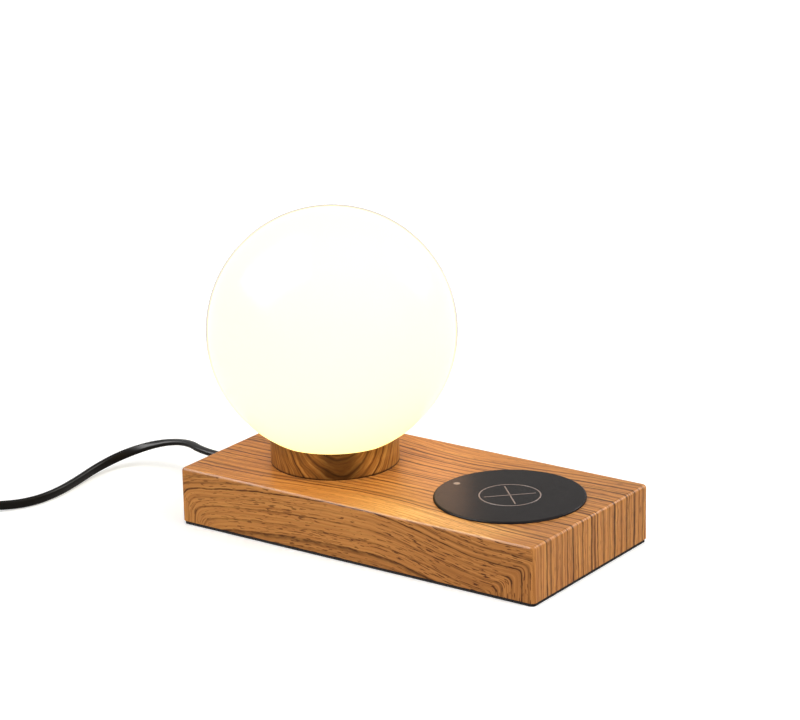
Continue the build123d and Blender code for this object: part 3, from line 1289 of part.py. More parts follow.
def cord_to_coil():
    """From the switch round into the coil."""
    start = SWITCH_START + SWITCH_LENGTH
    points = [
        put_away(start, 0, SWITCH_SPLIT),
        put_away(start + 12, 0, SWITCH_SPLIT),
        put_away(start + 27, 3.5, 5.0),
        put_away(start + 39, 12, COIL_LOW_Z),
        put_away(start + 47, 25.5, COIL_LOW_Z),
        coil_frame(COIL_RADIUS, -CORD_WIDTH - 18, COIL_LOW_Z),
        coil_frame(COIL_RADIUS, -CORD_WIDTH, COIL_LOW_Z),
    ]
    return tube_along(points, CORD_RADIUS, "cord to coil")


def coil_edges():
    """Half turns that spiral in on the table, climb, and spiral out on top."""
    half_turns = 2 * COIL_TURNS_ACROSS
    step = COIL_PITCH / 2
    edges = [Line(coil_frame(COIL_RADIUS, -CORD_WIDTH, COIL_LOW_Z), coil_frame(COIL_RADIUS, 0, COIL_LOW_Z))]
    along = COIL_RADIUS
    for k in range(half_turns):
        radius = COIL_RADIUS - k * step
        side = 1 if k % 2 == 0 else -1
        edges.append(half_turn(along, side, radius, COIL_LOW_Z))
        along -= 2 * side * radius
    radius = COIL_RADIUS - half_turns * step
    edges += climbing_half_turn(along, radius)
    along -= 2 * radius
    for k in range(half_turns - 1):
        radius += step
        side = -1 if k % 2 == 0 else 1
        edges.append(half_turn(along, side, radius, COIL_HIGH_Z))
        along -= 2 * side * radius
    edges.append(Line(coil_frame(along, 0, COIL_HIGH_Z), coil_frame(along, CORD_WIDTH, COIL_HIGH_Z)))
    return edges


def half_turn(along, side, radius, z):
    return ThreePointArc(
        coil_frame(along, 0, z),
        coil_frame(along - side * radius, side * radius, z),
        coil_frame(along - 2 * side * radius, 0, z),
    )


def climbing_half_turn(along, radius):
    """Two quarter arcs that rise by one layer and stay tangent to the turns they join."""
    rise = COIL_HIGH_Z - COIL_LOW_Z
    bulge = math.sqrt(radius**2 + rise**2 / 4)
    start = coil_frame(along, 0, COIL_LOW_Z)
    middle = coil_frame(along - radius, bulge, COIL_LOW_Z + rise / 2)
    end = coil_frame(along - 2 * radius, 0, COIL_HIGH_Z)
    heading = coil_frame(0, 1, 0) - coil_frame(0, 0, 0)
    through = coil_frame(-radius, 0, rise / 2) - coil_frame(0, 0, 0)
    first = TangentArc(start, middle, tangent=heading)
    second = TangentArc(middle, end, tangent=through)
    return [first, second]


def least_gap(path, width, samples=1200):
    """The least distance between points that aren't close along the path, less the cord's width."""
    places = [path @ (k / samples) for k in range(samples + 1)]
    apart = math.ceil(4 * width / (path.length / samples))
    least = min(
        (places[i] - places[j]).length
        for i in range(0, samples + 1, 2)
        for j in range(i + apart, samples + 1)
    )
    return least - width


def cord_coil():
    """The put-away length, six turns in two layers as one unbroken tube."""
    path = Wire(coil_edges())
    section = Plane(origin=path @ 0, z_dir=path % 0) * Circle(CORD_RADIUS)
    coil = sweep(section, path=path)
    share = coil.volume / (math.pi * CORD_RADIUS**2 * path.length)
    print("cord coil length", round(path.length, 1), "volume share", round(share, 4))
    print("cord coil least gap to itself", round(least_gap(path, CORD_WIDTH), 3))
    return coil


def cord_tie():
    """The band round the turns on the side where both layers have three."""
    middle = COIL_RADIUS - COIL_PITCH / 2 - (COIL_TURNS_ACROSS - 1) * COIL_PITCH / 2
    width = (COIL_TURNS_ACROSS - 1) * COIL_PITCH + CORD_WIDTH + 2 * TIE_SIDE_FIT
    height = COIL_PITCH + CORD_WIDTH + 2 * TIE_FIT
    inner = RectangleRounded(width, height, TIE_ROUND)
    outer = RectangleRounded(width + 2 * TIE_THICKNESS, height + 2 * TIE_THICKNESS, TIE_ROUND + TIE_THICKNESS)
    place = coil_frame(0, -middle, (COIL_LOW_Z + COIL_HIGH_Z) / 2)
    ahead = coil_frame(1, 0, 0) - coil_frame(0, 0, 0)
    face = Plane(origin=place, x_dir=Vector(0, 0, 1).cross(ahead), z_dir=ahead)
    return extrude(face * (outer - inner), TIE_WIDTH / 2, both=True)


def plug_axis():
    """Where the cord enters the plug's tail, and the way it heads there."""
    return coil_frame(PLUG_ALONG, PLUG_ACROSS, PLUG_AXIS_Z), EDGE_HEADING + 180.0


def cord_to_plug():
    """From the top of the coil down to the plug beside it."""
    tail, _ = plug_axis()
    points = [
        coil_frame(COIL_RADIUS, CORD_WIDTH, COIL_HIGH_Z),
        coil_frame(COIL_RADIUS, CORD_WIDTH + 14, COIL_HIGH_Z),
        coil_frame(COIL_RADIUS - 3, CORD_WIDTH + 30, 9.6),
        coil_frame(COIL_RADIUS - 11.5, 48.0, 8.6),
        coil_frame(COIL_RADIUS - 24, 57.5, 7.4),
        coil_frame(PLUG_ALONG + 14, PLUG_ACROSS, PLUG_AXIS_Z),
        tail,
    ]
    return tube_along(points, CORD_RADIUS, "cord to plug")


def plug_place():
    """The plug's frame: its pins point along +Z and its wide side is level."""
    tail, heading = plug_axis()
    way = Vector(math.cos(math.radians(heading)), math.sin(math.radians(heading)), 0)
    level = Vector(0, 0, 1).cross(way)
    return Plane(origin=tail, x_dir=level, z_dir=way).location


def plug_front_z():
    return PLUG_TAIL_LENGTH + PLUG_TAPER_LENGTH + PLUG_FRONT_LENGTH


def plug_body():
    """The moulded body: a tapered tail, a swelling shoulder and the flat front with its sleeves."""
    shoulder = PLUG_TAIL_LENGTH + PLUG_TAPER_LENGTH
    rear = Pos(0, 0, PLUG_TAIL_LENGTH) * RectangleRounded(
        PLUG_REAR_WIDTH, PLUG_REAR_THICKNESS, PLUG_REAR_ROUND
    )
    front = Pos(0, 0, shoulder) * RectangleRounded(PLUG_WIDTH, PLUG_THICKNESS, PLUG_EDGE_ROUND)
    body = loft([rear, front])
    body += Pos(0, 0, shoulder) * extrude(
        RectangleRounded(PLUG_WIDTH, PLUG_THICKNESS, PLUG_EDGE_ROUND), PLUG_FRONT_LENGTH
    )
    tail = Polyline(
        (0, 0),
        (PLUG_TAIL_TIP_RADIUS, 0),
        (PLUG_TAIL_RADIUS, PLUG_TAIL_LENGTH),
        (0, PLUG_TAIL_LENGTH),
        close=True,
    )
    body += turned(make_face(tail))
    body -= plug_grooves()
    sleeve = disc(PLUG_SLEEVE_RADIUS, PLUG_SLEEVE_LENGTH, plug_front_z())
    body += [Pos(side * PLUG_PIN_SPACING / 2, 0, 0) * sleeve for side in (-1, 1)]
    body -= [Pos(side * PLUG_PIN_SPACING / 2, 0, 0) * plug_pin_core() for side in (-1, 1)]
    return plug_place() * body


def plug_grooves():
    """The grooves round the tail, which let it bend with the cord."""
    pitch = PLUG_TAIL_LENGTH / (PLUG_GROOVES + 1)
    grooves = []
    for k in range(PLUG_GROOVES):
        z = (k + 1) * pitch
        surface = PLUG_TAIL_TIP_RADIUS + z / PLUG_TAIL_LENGTH * (PLUG_TAIL_RADIUS - PLUG_TAIL_TIP_RADIUS)
        low = z - PLUG_GROOVE_WIDTH / 2
        grooves.append(ring(PLUG_TAIL_RADIUS, surface - PLUG_GROOVE_DEPTH, PLUG_GROOVE_WIDTH, low))
    return grooves


def plug_pin_core():
    """The thin part of a pin that runs through its sleeve into the body."""
    radius = PLUG_SLEEVE_RADIUS - PLUG_SLEEVE_WALL
    return disc(radius, PLUG_PIN_ROOT + PLUG_SLEEVE_LENGTH, plug_front_z() - PLUG_PIN_ROOT)


def plug_pins():
    tip = disc(PLUG_PIN_RADIUS, PLUG_PIN_LENGTH - PLUG_SLEEVE_LENGTH, plug_front_z() + PLUG_SLEEVE_LENGTH)
    tip = fillet(tip.faces().sort_by(Axis.Z)[-1].edges(), PLUG_PIN_TIP_ROUND)
    pin = tip + plug_pin_core()
    return group(plug_place() * Pos(side * PLUG_PIN_SPACING / 2, 0, 0) * pin for side in (-1, 1))


PARTS = [
    base_block,
    bottom_plate,
    foot_pad,
    bottom_screws,
    collar,
    collar_screws,
    gallery,
    threaded_tube,
    tube_nuts,
    holder_bracket,
    holder_body,
    holder_contacts,
    holder_screws,
    globe,
    glass_neck,
    bulb_base,
    bulb_pins,
    bulb_cover,
    bulb_board,
    pad_cover,
    indicator_lens,
    lock_ring,
    pad_cap,
    charger_board,
    charger_board_screws,
    charger_ferrite,
    charger_coil,
    power_board,
    power_board_spacers,
    power_board_screws,
    terminal_block,
    terminal_screws,
    strain_relief,
    cord_inlet,
    cord_clamp,
    clamp_screws,
    mains_leads,
    supply_leads,
    lamp_leads,
    pad_leads,
    cord_to_switch,
    switch_lower_shell,
    switch_upper_shell,
    switch_rocker,
    switch_screws,
    cord_to_coil,
    cord_coil,
    cord_tie,
    cord_to_plug,
    plug_body,
    plug_pins,
]

for make in PARTS:
    shape = make()
    export_step(shape, f"parts/{make.__name__}.step")
    box = shape.bounding_box()
    print(make.__name__, "solids", len(shape.solids()), "box", box.min, box.max)
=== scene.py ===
import math

import bmesh
import bpy
from mathutils import Matrix, Vector


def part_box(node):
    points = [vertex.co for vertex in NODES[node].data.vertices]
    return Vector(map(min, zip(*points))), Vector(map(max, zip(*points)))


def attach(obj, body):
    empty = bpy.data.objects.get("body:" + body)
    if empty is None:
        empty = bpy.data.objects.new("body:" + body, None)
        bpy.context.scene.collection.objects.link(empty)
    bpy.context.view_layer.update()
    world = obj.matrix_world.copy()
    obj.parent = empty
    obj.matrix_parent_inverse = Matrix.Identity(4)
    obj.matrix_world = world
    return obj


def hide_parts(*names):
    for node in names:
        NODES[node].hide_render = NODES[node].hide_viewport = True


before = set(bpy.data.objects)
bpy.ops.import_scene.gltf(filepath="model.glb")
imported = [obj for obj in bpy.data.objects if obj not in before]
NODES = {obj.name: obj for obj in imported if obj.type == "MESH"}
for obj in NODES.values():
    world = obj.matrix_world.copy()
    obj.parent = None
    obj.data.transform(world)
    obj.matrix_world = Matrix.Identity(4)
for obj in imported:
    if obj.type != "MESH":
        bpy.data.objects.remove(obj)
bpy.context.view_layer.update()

# Camera at the photograph's angle, in degrees and metres, with its lens in millimetres
CAMERA_AZIMUTH = 35.4465
CAMERA_ELEVATION = 17.6680
CAMERA_ROLL = -1.1426
CAMERA_PLACE = (1.00408, -1.41966, 0.66086)
CAMERA_LENS = 141.12
CAMERA_SENSOR = 36.0
CAMERA_NEAR = 0.05
CAMERA_FAR = 50.0

# Cord: a flat two core lead, in metres
CORD_WIDTH = 0.0058
CORD_THICKNESS = 0.0034
CORD_GIRTH = 2 * (CORD_WIDTH - CORD_THICKNESS) + math.pi * CORD_THICKNESS
CORD_EXIT = (-0.147, 0.006, 0.0185)
CORD_SIDES = 20
CORD_STEPS_A_POINT = 8

# The cord turns over: distances from its exit in metres, and its turn about its own line there in radians
QUARTER = math.pi / 2
CORD_TURNS = [
    (0.0, 0.0),
    (0.040, 0.0),
    (0.112, QUARTER),
    (0.188, QUARTER),
    (0.222, 0.0),
    (0.292, 0.0),
    (0.352, QUARTER),
    (1.560, QUARTER),
    (1.640, 0.0),
]

# Where the cord leaves the photograph, its heading there, and the coil that puts the rest away
EDGE_POINT = (-0.233, -0.106)
EDGE_HEADING = math.radians(222.06)
COIL_AHEAD = 0.098
COIL_ASIDE = 0.066
COIL_RADIUS = 0.042
COIL_PITCH = 0.0063
COIL_HALF_TURNS = 6
COIL_POINTS_A_HALF = 8
COIL_LOW = 0.0038
COIL_HIGH = 0.0101

# Mark printed on the pad, in metres: a ring round a cross, sunk a little into the pad's top
PAD_CENTRE = (0.0693, 0.0)
MARK_HEIGHT = 0.00005
MARK_MIDDLE = MARK_HEIGHT * 0.4
MARK_SIZES = {"Ring Radius": 0.0178, "Arm Length": 0.0153, "Line Width": 0.0008, "Line Height": MARK_HEIGHT}
MARK_RING_STEPS = 96
MARK_ARM_CUTS = 8

# Settings that many nodes share
TIMES = {"operation": "MULTIPLY"}
PLUS = {"operation": "ADD"}
LESS = {"operation": "SUBTRACT"}
TIMES_PLUS = {"operation": "MULTIPLY_ADD"}
LARGER = {"operation": "MAXIMUM"}
SIZE_OF = {"operation": "ABSOLUTE"}
SMOOTH = {"interpolation_type": "SMOOTHSTEP"}
NUMBERS = {"data_type": "FLOAT"}
COLOURS = {"data_type": "RGBA"}
INWARD = {"invert": True}

# Places on a Mix node for colours: its share, the two that it mixes, and what it gives
SHARE, FIRST, SECOND = 0, 6, 7
MIXED = 2


def to_linear(code):
    """An sRGB hex colour as linear red, green, blue and full alpha."""
    shares = [int(code[k : k + 2], 16) / 255 for k in (0, 2, 4)]
    linear = [s / 12.92 if s <= 0.04045 else ((s + 0.055) / 1.055) ** 2.4 for s in shares]
    return (*linear, 1.0)


def add(tree, kind, settings=None, inputs=None, stops=None):
    """Adds a node with its settings and links.

    Inputs are values, hex colours, sockets or nodes, by place or by name. Stops fill a ramp or a curve.
    A Map Range takes by place its value, the low and high that it has, and the low and high that it gets.
    """
    node = tree.nodes.new(kind)
    for name, value in (settings or {}).items():
        setattr(node, name, value)
    named = inputs.items() if isinstance(inputs, dict) else enumerate(inputs or [])
    for name, value in named:
        if value is None:
            continue
        if isinstance(value, str):
            value = to_linear(value)
        if isinstance(value, bpy.types.Node):
            value = value.outputs[0]
        if isinstance(value, bpy.types.NodeSocket):
            tree.links.new(value, node.inputs[name])
        else:
            node.inputs[name].default_value = value
    if stops and hasattr(node, "color_ramp"):
        elements = node.color_ramp.elements
        while len(elements) < len(stops):
            elements.new(0.5)
        for element, (place, shade) in zip(elements, stops):
            element.position = place
            element.color = to_linear(shade) if isinstance(shade, str) else (shade, shade, shade, 1.0)
    elif stops:
        curve = node.mapping.curves[0]
        for place, value in stops[1:-1]:
            curve.points.new(place, value)
        for point, (place, value) in zip(curve.points, stops):
            point.location = (place, value)
            point.handle_type = "VECTOR"
        node.mapping.update()
    return node


def new_material(name):
    """An empty node material and its tree."""
    material = bpy.data.materials.new(name)
    material.use_nodes = True
    material.node_tree.nodes.clear()
    return material, material.node_tree


def millimetres(tree):
    """The piece's own coordinates in millimetres."""
    place = add(tree, "ShaderNodeTexCoord")
    metres = place.outputs["Object"]
    return add(tree, "ShaderNodeVectorMath", {"operation": "SCALE"}, {0: metres, "Scale": 1000.0})


def scales(*sizes):
    """Texture scales from a pattern's real sizes in millimetres, one for each axis."""
    return tuple(1 / size for size in sizes)


def eased(share):
    """A share from 0 to 1 that starts and ends gently."""
    return share * share * (3 - 2 * share)


def shown(name, data):
    """An object in the scene that carries this mesh, lens or lamp."""
    made = bpy.data.objects.new(name, data)
    bpy.context.scene.collection.objects.link(made)
    return made


# Camera


def place_camera():
    """Puts the camera at its place, looking back along its azimuth and elevation, with its roll."""
    azimuth, elevation = math.radians(CAMERA_AZIMUTH), math.radians(CAMERA_ELEVATION)
    roll = math.radians(CAMERA_ROLL)
    level = math.cos(elevation)
    back = Vector((math.sin(azimuth) * level, -math.cos(azimuth) * level, math.sin(elevation)))
    right = Vector((0, 0, 1)).cross(back).normalized()
    up = back.cross(right)
    across = right * math.cos(roll) + up * math.sin(roll)
    upward = up * math.cos(roll) - right * math.sin(roll)
    data = bpy.data.cameras.new("camera")
    data.lens = CAMERA_LENS
    data.sensor_width = CAMERA_SENSOR
    data.clip_start = CAMERA_NEAR
    data.clip_end = CAMERA_FAR
    camera = shown("camera", data)
    turn = Matrix((across, upward, back)).transposed().to_4x4()
    camera.matrix_world = Matrix.Translation(CAMERA_PLACE) @ turn
    bpy.context.scene.camera = camera


place_camera()


# Cord


def put_away(ahead, aside, height):
    """A point past the edge of the photograph, from its place along and beside the cord's heading."""
    along, beside = math.cos(EDGE_HEADING), math.sin(EDGE_HEADING)
    x = EDGE_POINT[0] + ahead * along + aside * beside
    y = EDGE_POINT[1] + ahead * beside - aside * along
    return Vector((x, y, height))


def coil_point(along, across, height):
    """A point from its place along and across the coil's own middle."""
    return put_away(COIL_AHEAD + along, COIL_ASIDE + across, height)


def coil_points():
    """The coil's control points: half turns that shrink, one that climbs, and half turns that grow."""
    radii = [COIL_RADIUS - k * COIL_PITCH / 2 for k in range(COIL_HALF_TURNS)]
    climb = COIL_RADIUS - COIL_HALF_TURNS * COIL_PITCH / 2
    turns = [(radius, COIL_LOW, COIL_LOW) for radius in radii]
    turns.append((climb, COIL_LOW, COIL_HIGH))
    turns += [(radius, COIL_HIGH, COIL_HIGH) for radius in radii[:0:-1]]
    step = math.pi / COIL_POINTS_A_HALF
    points = []
    start = COIL_RADIUS
    for number, (radius, low, high) in enumerate(turns):
        side = 1 if number % 2 == 0 else -1
        centre = start - side * radius
        reach = radius / math.cos(step / 2)
        for k in range(COIL_POINTS_A_HALF):
            angle = (k + 0.5) * step
            height = low + (high - low) * eased((k + 0.5) / COIL_POINTS_A_HALF)
            along = centre + side * reach * math.cos(angle)
            points.append(coil_point(along, side * reach * math.sin(angle), height))
        start = centre - side * radius
    return points


def cord_points():
    """The route's points in order, from the sleeve through the switch and the coil to the plug."""
    visible = [
        CORD_EXIT,
        (-0.162, 0.006, 0.0185),
        (-0.1835, 0.017, 0.0178),
        (-0.2055, 0.015, 0.0136),
        (-0.221, 0.0005, 0.008),
        (-0.2258, -0.021, 0.0043),
        (-0.2228, -0.044, 0.0029),
        (-0.2193, -0.067, 0.0029),
        (-0.2215, -0.089, 0.0029),
        (-0.233, -0.1065, 0.0036),
    ]
    switch = [(0.017, 0.0060), (0.034, 0.0060), (0.048, 0.0045), (0.076, 0.0045), (0.090, 0.0060)]
    to_coil = [
        (0.102, 0.0, 0.0060),
        (0.117, 0.0035, 0.0050),
        (0.129, 0.012, COIL_LOW),
        (0.137, 0.0255, COIL_LOW),
    ]
    to_plug = [
        (COIL_RADIUS, CORD_WIDTH, COIL_HIGH),
        (COIL_RADIUS, 0.0198, COIL_HIGH),
        (0.039, 0.0358, 0.0096),
        (0.0305, 0.048, 0.0086),
        (0.018, 0.0575, 0.0074),
        (0.002, 0.064, 0.00685),
        (-0.012, 0.064, 0.00685),
        (-0.016, 0.064, 0.00685),
    ]
    points = [Vector(point) for point in visible]
    points += [put_away(ahead, 0.0, height) for ahead, height in switch]
    points += [put_away(*point) for point in to_coil]
    points += [coil_point(COIL_RADIUS, -0.0238, COIL_LOW), coil_point(COIL_RADIUS, -CORD_WIDTH, COIL_LOW)]
    points += coil_points()
    points += [coil_point(*point) for point in to_plug]
    return points


def smooth_route(points):
    """The points that a smooth spline follows through its control points."""
    data = bpy.data.curves.new("cord_route", "CURVE")
    data.dimensions = "3D"
    data.resolution_u = CORD_STEPS_A_POINT
    spline = data.splines.new("NURBS")
    spline.points.add(len(points) - 1)
    for control, point in zip(spline.points, points):
        control.co = (*point, 1.0)
    spline.order_u = 3
    spline.use_endpoint_u = True
    route = bpy.data.objects.new("cord_route", data)
    mesh = bpy.data.meshes.new_from_object(route)
    followed = [vertex.co.copy() for vertex in mesh.vertices]
    bpy.data.meshes.remove(mesh)
    bpy.data.objects.remove(route)
    bpy.data.curves.remove(data)
    return followed


def turn_of(distance):
    """How far the flat cord is turned about its own line at a distance from its exit."""
    for (start, first), (end, second) in zip(CORD_TURNS, CORD_TURNS[1:]):
        if distance <= end:
            return first + (second - first) * eased((distance - start) / (end - start))
    return 0.0


def cord_section():
    """The cord's outline, two round edges joined by flats, as places across and through it."""
    edge = CORD_THICKNESS / 2
    reach = (CORD_WIDTH - CORD_THICKNESS) / 2
    outline = []
    for k in range(CORD_SIDES):
        angle = 2 * math.pi * (k + 0.5) / CORD_SIDES
        side = reach if math.cos(angle) > 0 else -reach
        outline.append((side + edge * math.cos(angle), edge * math.sin(angle)))
    return outline


def build_cord(path):
    """A closed flat tube along the path, with its own length and girth as its map."""
    mesh = bmesh.new()
    map_layer = mesh.loops.layers.uv.new("cord_map")
    outline = cord_section()
    rings, distances, distance = [], [], 0.0
    for k, point in enumerate(path):
        before, after = path[max(k - 1, 0)], path[min(k + 1, len(path) - 1)]
        if k:
            distance += (point - path[k - 1]).length
        along = (after - before).normalized()
        side = along.cross(Vector((0, 0, 1))).normalized()
        lift = side.cross(along)
        turn = turn_of(distance)
        wide = side * math.cos(turn) + lift * math.sin(turn)
        thin = lift * math.cos(turn) - side * math.sin(turn)
        rings.append([mesh.verts.new(point + wide * across + thin * through) for across, through in outline])
        distances.append(distance)
    for k in range(len(rings) - 1):
        ring, following = rings[k], rings[k + 1]
        lengths = (distances[k], distances[k], distances[k + 1], distances[k + 1])
        for j in range(CORD_SIDES):
            beside = (j + 1) % CORD_SIDES
            face = mesh.faces.new((ring[j], ring[beside], following[beside], following[j]))
            face.smooth = True
            for loop, girth, length in zip(face.loops, (j, j + 1, j + 1, j), lengths):
                loop[map_layer].uv = (length, girth / CORD_SIDES)
    mesh.faces.new(rings[0])
    mesh.faces.new(list(reversed(rings[-1])))
    bmesh.ops.recalc_face_normals(mesh, faces=mesh.faces)
    data = bpy.data.meshes.new("cord")
    mesh.to_mesh(data)
    mesh.free()
    return shown("cord", data)


path = smooth_route(cord_points())
cord = build_cord(path)
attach(cord, "lamp_base")
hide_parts("cord_to_switch", "cord_to_coil", "cord_coil", "cord_to_plug")


# Wood: the sizes of its figure, in millimetres from the base's middle and above the table

# How far a ring line wanders over its length, how far it shivers, and how much of that the front shows
WANDER = 5.0
SHIVER = 1.6
FRONT_SHIVER = 0.9
# Where the top's lines draw together, how wide that is along the base, and by what share
PINCH_PLACE = 10.0
PINCH_WIDTH = 62.0
PINCH_SHARE = 0.22
# How far the front's lines come down: to the right between two places, and to the left by a place
RIGHT_FALL = 13.7
RIGHT_FALL_FROM, RIGHT_FALL_TO = 10.0, 102.0
LEFT_FALL = 10.9
LEFT_FALL_AT = 117.0
# The front's darkest ring, where it turns down at each end, how steeply, and how roundly
TURNED_RING = 34.5
RIGHT_TURN_AT, RIGHT_TURN_SLOPE, RIGHT_TURN_EASE = 117.0, 0.83, 5.0
LEFT_TURN_AT, LEFT_TURN_SLOPE, LEFT_TURN_EASE = 125.0, 1.15, 15.0
# How squarely a face looks forwards or back where the front's figure begins, and where it is whole
FRONT_FROM, FRONT_WHOLE = 0.70, 0.82
# The collar's middle and foot, and how its grain is turned
COLLAR_PLACE = -55.5
COLLAR_FOOT = 35.5
COLLAR_TURN = math.radians(-40.0)
# How far apart the collar's rings are cut, where the first one lies, how far they bend, and how they climb
COLLAR_RINGS = 3.4
COLLAR_RING_START = 0.25
COLLAR_BEND = 3.0
COLLAR_CLIMB = 0.36
# The oil on both: its gloss is low, because the white world shines on it from every side
OIL_IOR = 1.48
OIL_GLOSS = 0.06

# Ring lines: each has its place, how softly it starts and ends, and how dark it is
TOP_REACH = 64.0
TOP_RINGS = [
    (-54.5, 2.0, 0.6, 0.30),
    (-48.0, 1.2, 0.8, 0.90),
    (-43.2, 2.6, 1.0, 0.60),
    (-37.0, 1.6, 0.5, 0.40),
    (-31.0, 2.0, 0.5, 0.45),
    (-25.5, 1.8, 0.5, 0.65),
    (-20.0, 1.5, 0.9, 0.90),
    (-14.5, 1.8, 0.5, 0.45),
    (-9.2, 1.8, 0.6, 0.65),
    (-3.6, 1.4, 0.5, 0.40),
    (1.0, 1.6, 0.8, 0.90),
    (4.4, 2.0, 0.5, 0.70),
    (7.2, 0.8, 0.6, 0.90),
    (13.3, 1.8, 0.6, 0.60),
    (19.2, 1.6, 0.6, 0.50),
    (24.8, 2.6, 0.7, 0.95),
    (32.0, 1.8, 0.6, 0.55),
    (38.6, 1.6, 0.6, 0.90),
    (41.0, 1.0, 0.6, 0.60),
    (47.2, 2.0, 0.7, 0.95),
    (52.0, 1.4, 0.5, 0.45),
    (56.2, 1.6, 0.6, 0.60),
]
FRONT_REACH = 48.0
FRONT_RINGS = [
    (4.6, 3.0, 0.8, 0.30),
    (9.3, 3.6, 0.7, 0.75),
    (16.2, 1.0, 0.6, 0.45),
    (20.2, 1.0, 0.4, 0.15),
    (23.7, 0.9, 0.5, 0.60),
    (29.4, 0.8, 0.5, 0.32),
    (34.5, 0.5, 1.0, 1.00),
    (38.6, 1.2, 0.8, 0.45),
    (42.4, 1.2, 0.8, 0.50),
]
CLOSEST_STOPS = 0.0005


def line_stops(lines, low, high):
    """Curve stops for dark lines that lie between two places."""
    stops = [(0.0, 0.0)]
    for place, start, end, depth in lines:
        for at, value in ((place - start, 0.0), (place, depth), (place + end, 0.0)):
            share = (at - low) / (high - low)
            if share > stops[-1][0] + CLOSEST_STOPS:
                stops.append((share, value))
            else:
                stops[-1] = (stops[-1][0], max(value, stops[-1][1]))
    stops.append((1.0, 0.0))
    return stops


def rings_across_top(tree, x, y, warp):
    """Where the top's ring lines lie: along the base, drawn together in its middle."""
    off_middle = add(tree, "ShaderNodeMath", TIMES_PLUS, [x, 1 / PINCH_WIDTH, -PINCH_PLACE / PINCH_WIDTH])
    squared = add(tree, "ShaderNodeMath", TIMES, [off_middle, off_middle])
    fading = add(tree, "ShaderNodeMath", TIMES, [squared, -1.0])
    bell = add(tree, "ShaderNodeMath", {"operation": "EXPONENT"}, [fading])
    narrow = add(tree, "ShaderNodeMath", TIMES_PLUS, [bell, -PINCH_SHARE, 1.0])
    spread = add(tree, "ShaderNodeMath", {"operation": "DIVIDE"}, [y, narrow])
    return add(tree, "ShaderNodeMath", PLUS, [spread, warp])


def rings_up_front(tree, x, z, ripples):
    """Where the front's ring lines lie: cut almost flat, so that they arch and turn down at both ends."""
    right = add(tree, "ShaderNodeMapRange", SMOOTH, [x, RIGHT_FALL_FROM, RIGHT_FALL_TO, 0.0, RIGHT_FALL])
    left_share = add(tree, "ShaderNodeMath", TIMES, [x, -1 / LEFT_FALL_AT])
    left_only = add(tree, "ShaderNodeMath", LARGER, [left_share, 0.0])
    left_squared = add(tree, "ShaderNodeMath", {"operation": "POWER"}, [left_only, 2.0])
    left = add(tree, "ShaderNodeMath", TIMES, [left_squared, LEFT_FALL])
    both = add(tree, "ShaderNodeMath", PLUS, [left, right])
    level = add(tree, "ShaderNodeMath", PLUS, [z, both])
    for way, place, slope, ease in (
        (1, RIGHT_TURN_AT, RIGHT_TURN_SLOPE, RIGHT_TURN_EASE),
        (-1, LEFT_TURN_AT, LEFT_TURN_SLOPE, LEFT_TURN_EASE),
    ):
        turned = add(tree, "ShaderNodeMath", TIMES_PLUS, [x, way * slope, TURNED_RING - place * slope])
        level = add(tree, "ShaderNodeMath", {"operation": "SMOOTH_MAX"}, [level, turned, ease])
    small_warp = add(tree, "ShaderNodeMath", TIMES, [ripples, FRONT_SHIVER])
    return add(tree, "ShaderNodeMath", PLUS, [level, small_warp])


def streaks_along(tree, grain, *sizes):
    """Paler and darker streaks, from their length along the grain, their width and their depth."""
    place = add(tree, "ShaderNodeMapping", None, {"Vector": grain, "Scale": scales(*sizes)})
    fine = {"Vector": place, "Scale": 1.0, "Detail": 3.0, "Roughness": 0.6}
    return add(tree, "ShaderNodeTexNoise", None, fine)


def short_pores(tree, grain):
    """Short dark pores along the grain, more of them in some bands than in others."""
    # Real pores are 0.3 mm wide, and are drawn 0.75 mm wide, so that they show
    place = add(tree, "ShaderNodeMapping", None, {"Vector": grain, "Scale": scales(6, 0.75, 1)})
    pores = add(tree, "ShaderNodeTexNoise", None, {"Vector": place, "Scale": 1.0, "Detail": 0.6})
    shifted = {"Vector": grain, "Scale": scales(62, 6, 1), "Location": (3, 8, 2)}
    band_place = add(tree, "ShaderNodeMapping", None, shifted)
    bands = add(tree, "ShaderNodeTexNoise", None, {"Vector": band_place, "Scale": 1.0, "Detail": 1.0})
    # What rises above the cut is a pore, and the cut is lower in some bands
    cut = add(tree, "ShaderNodeMapRange", None, [bands, 0.35, 0.62, 0.68, 0.575])
    rest = add(tree, "ShaderNodeMath", LESS, [pores, cut])
    return add(tree, "ShaderNodeMapRange", SMOOTH, [rest, 0.0, 0.03, 0.0, 1.0])


def worn_rings(tree, grain, lines, is_front):
    """The ring lines, thinner in places, and more so on the front."""
    shifted = {"Vector": grain, "Scale": scales(7.5, 2, 1), "Location": (7, 3, 5)}
    place = add(tree, "ShaderNodeMapping", None, shifted)
    worn = add(tree, "ShaderNodeTexNoise", None, {"Vector": place, "Scale": 1.0, "Detail": 2.0})
    thinnest = add(tree, "ShaderNodeMix", NUMBERS, [is_front, None, 0.80, 0.50])
    left = add(tree, "ShaderNodeMapRange", None, [worn, 0.36, 0.60, thinnest, 1.0])
    kept = add(tree, "ShaderNodeMath", TIMES, [lines, left])
    return add(tree, "ShaderNodeMapRange", None, [kept, 0.0, 0.68, 0.0, 0.95])


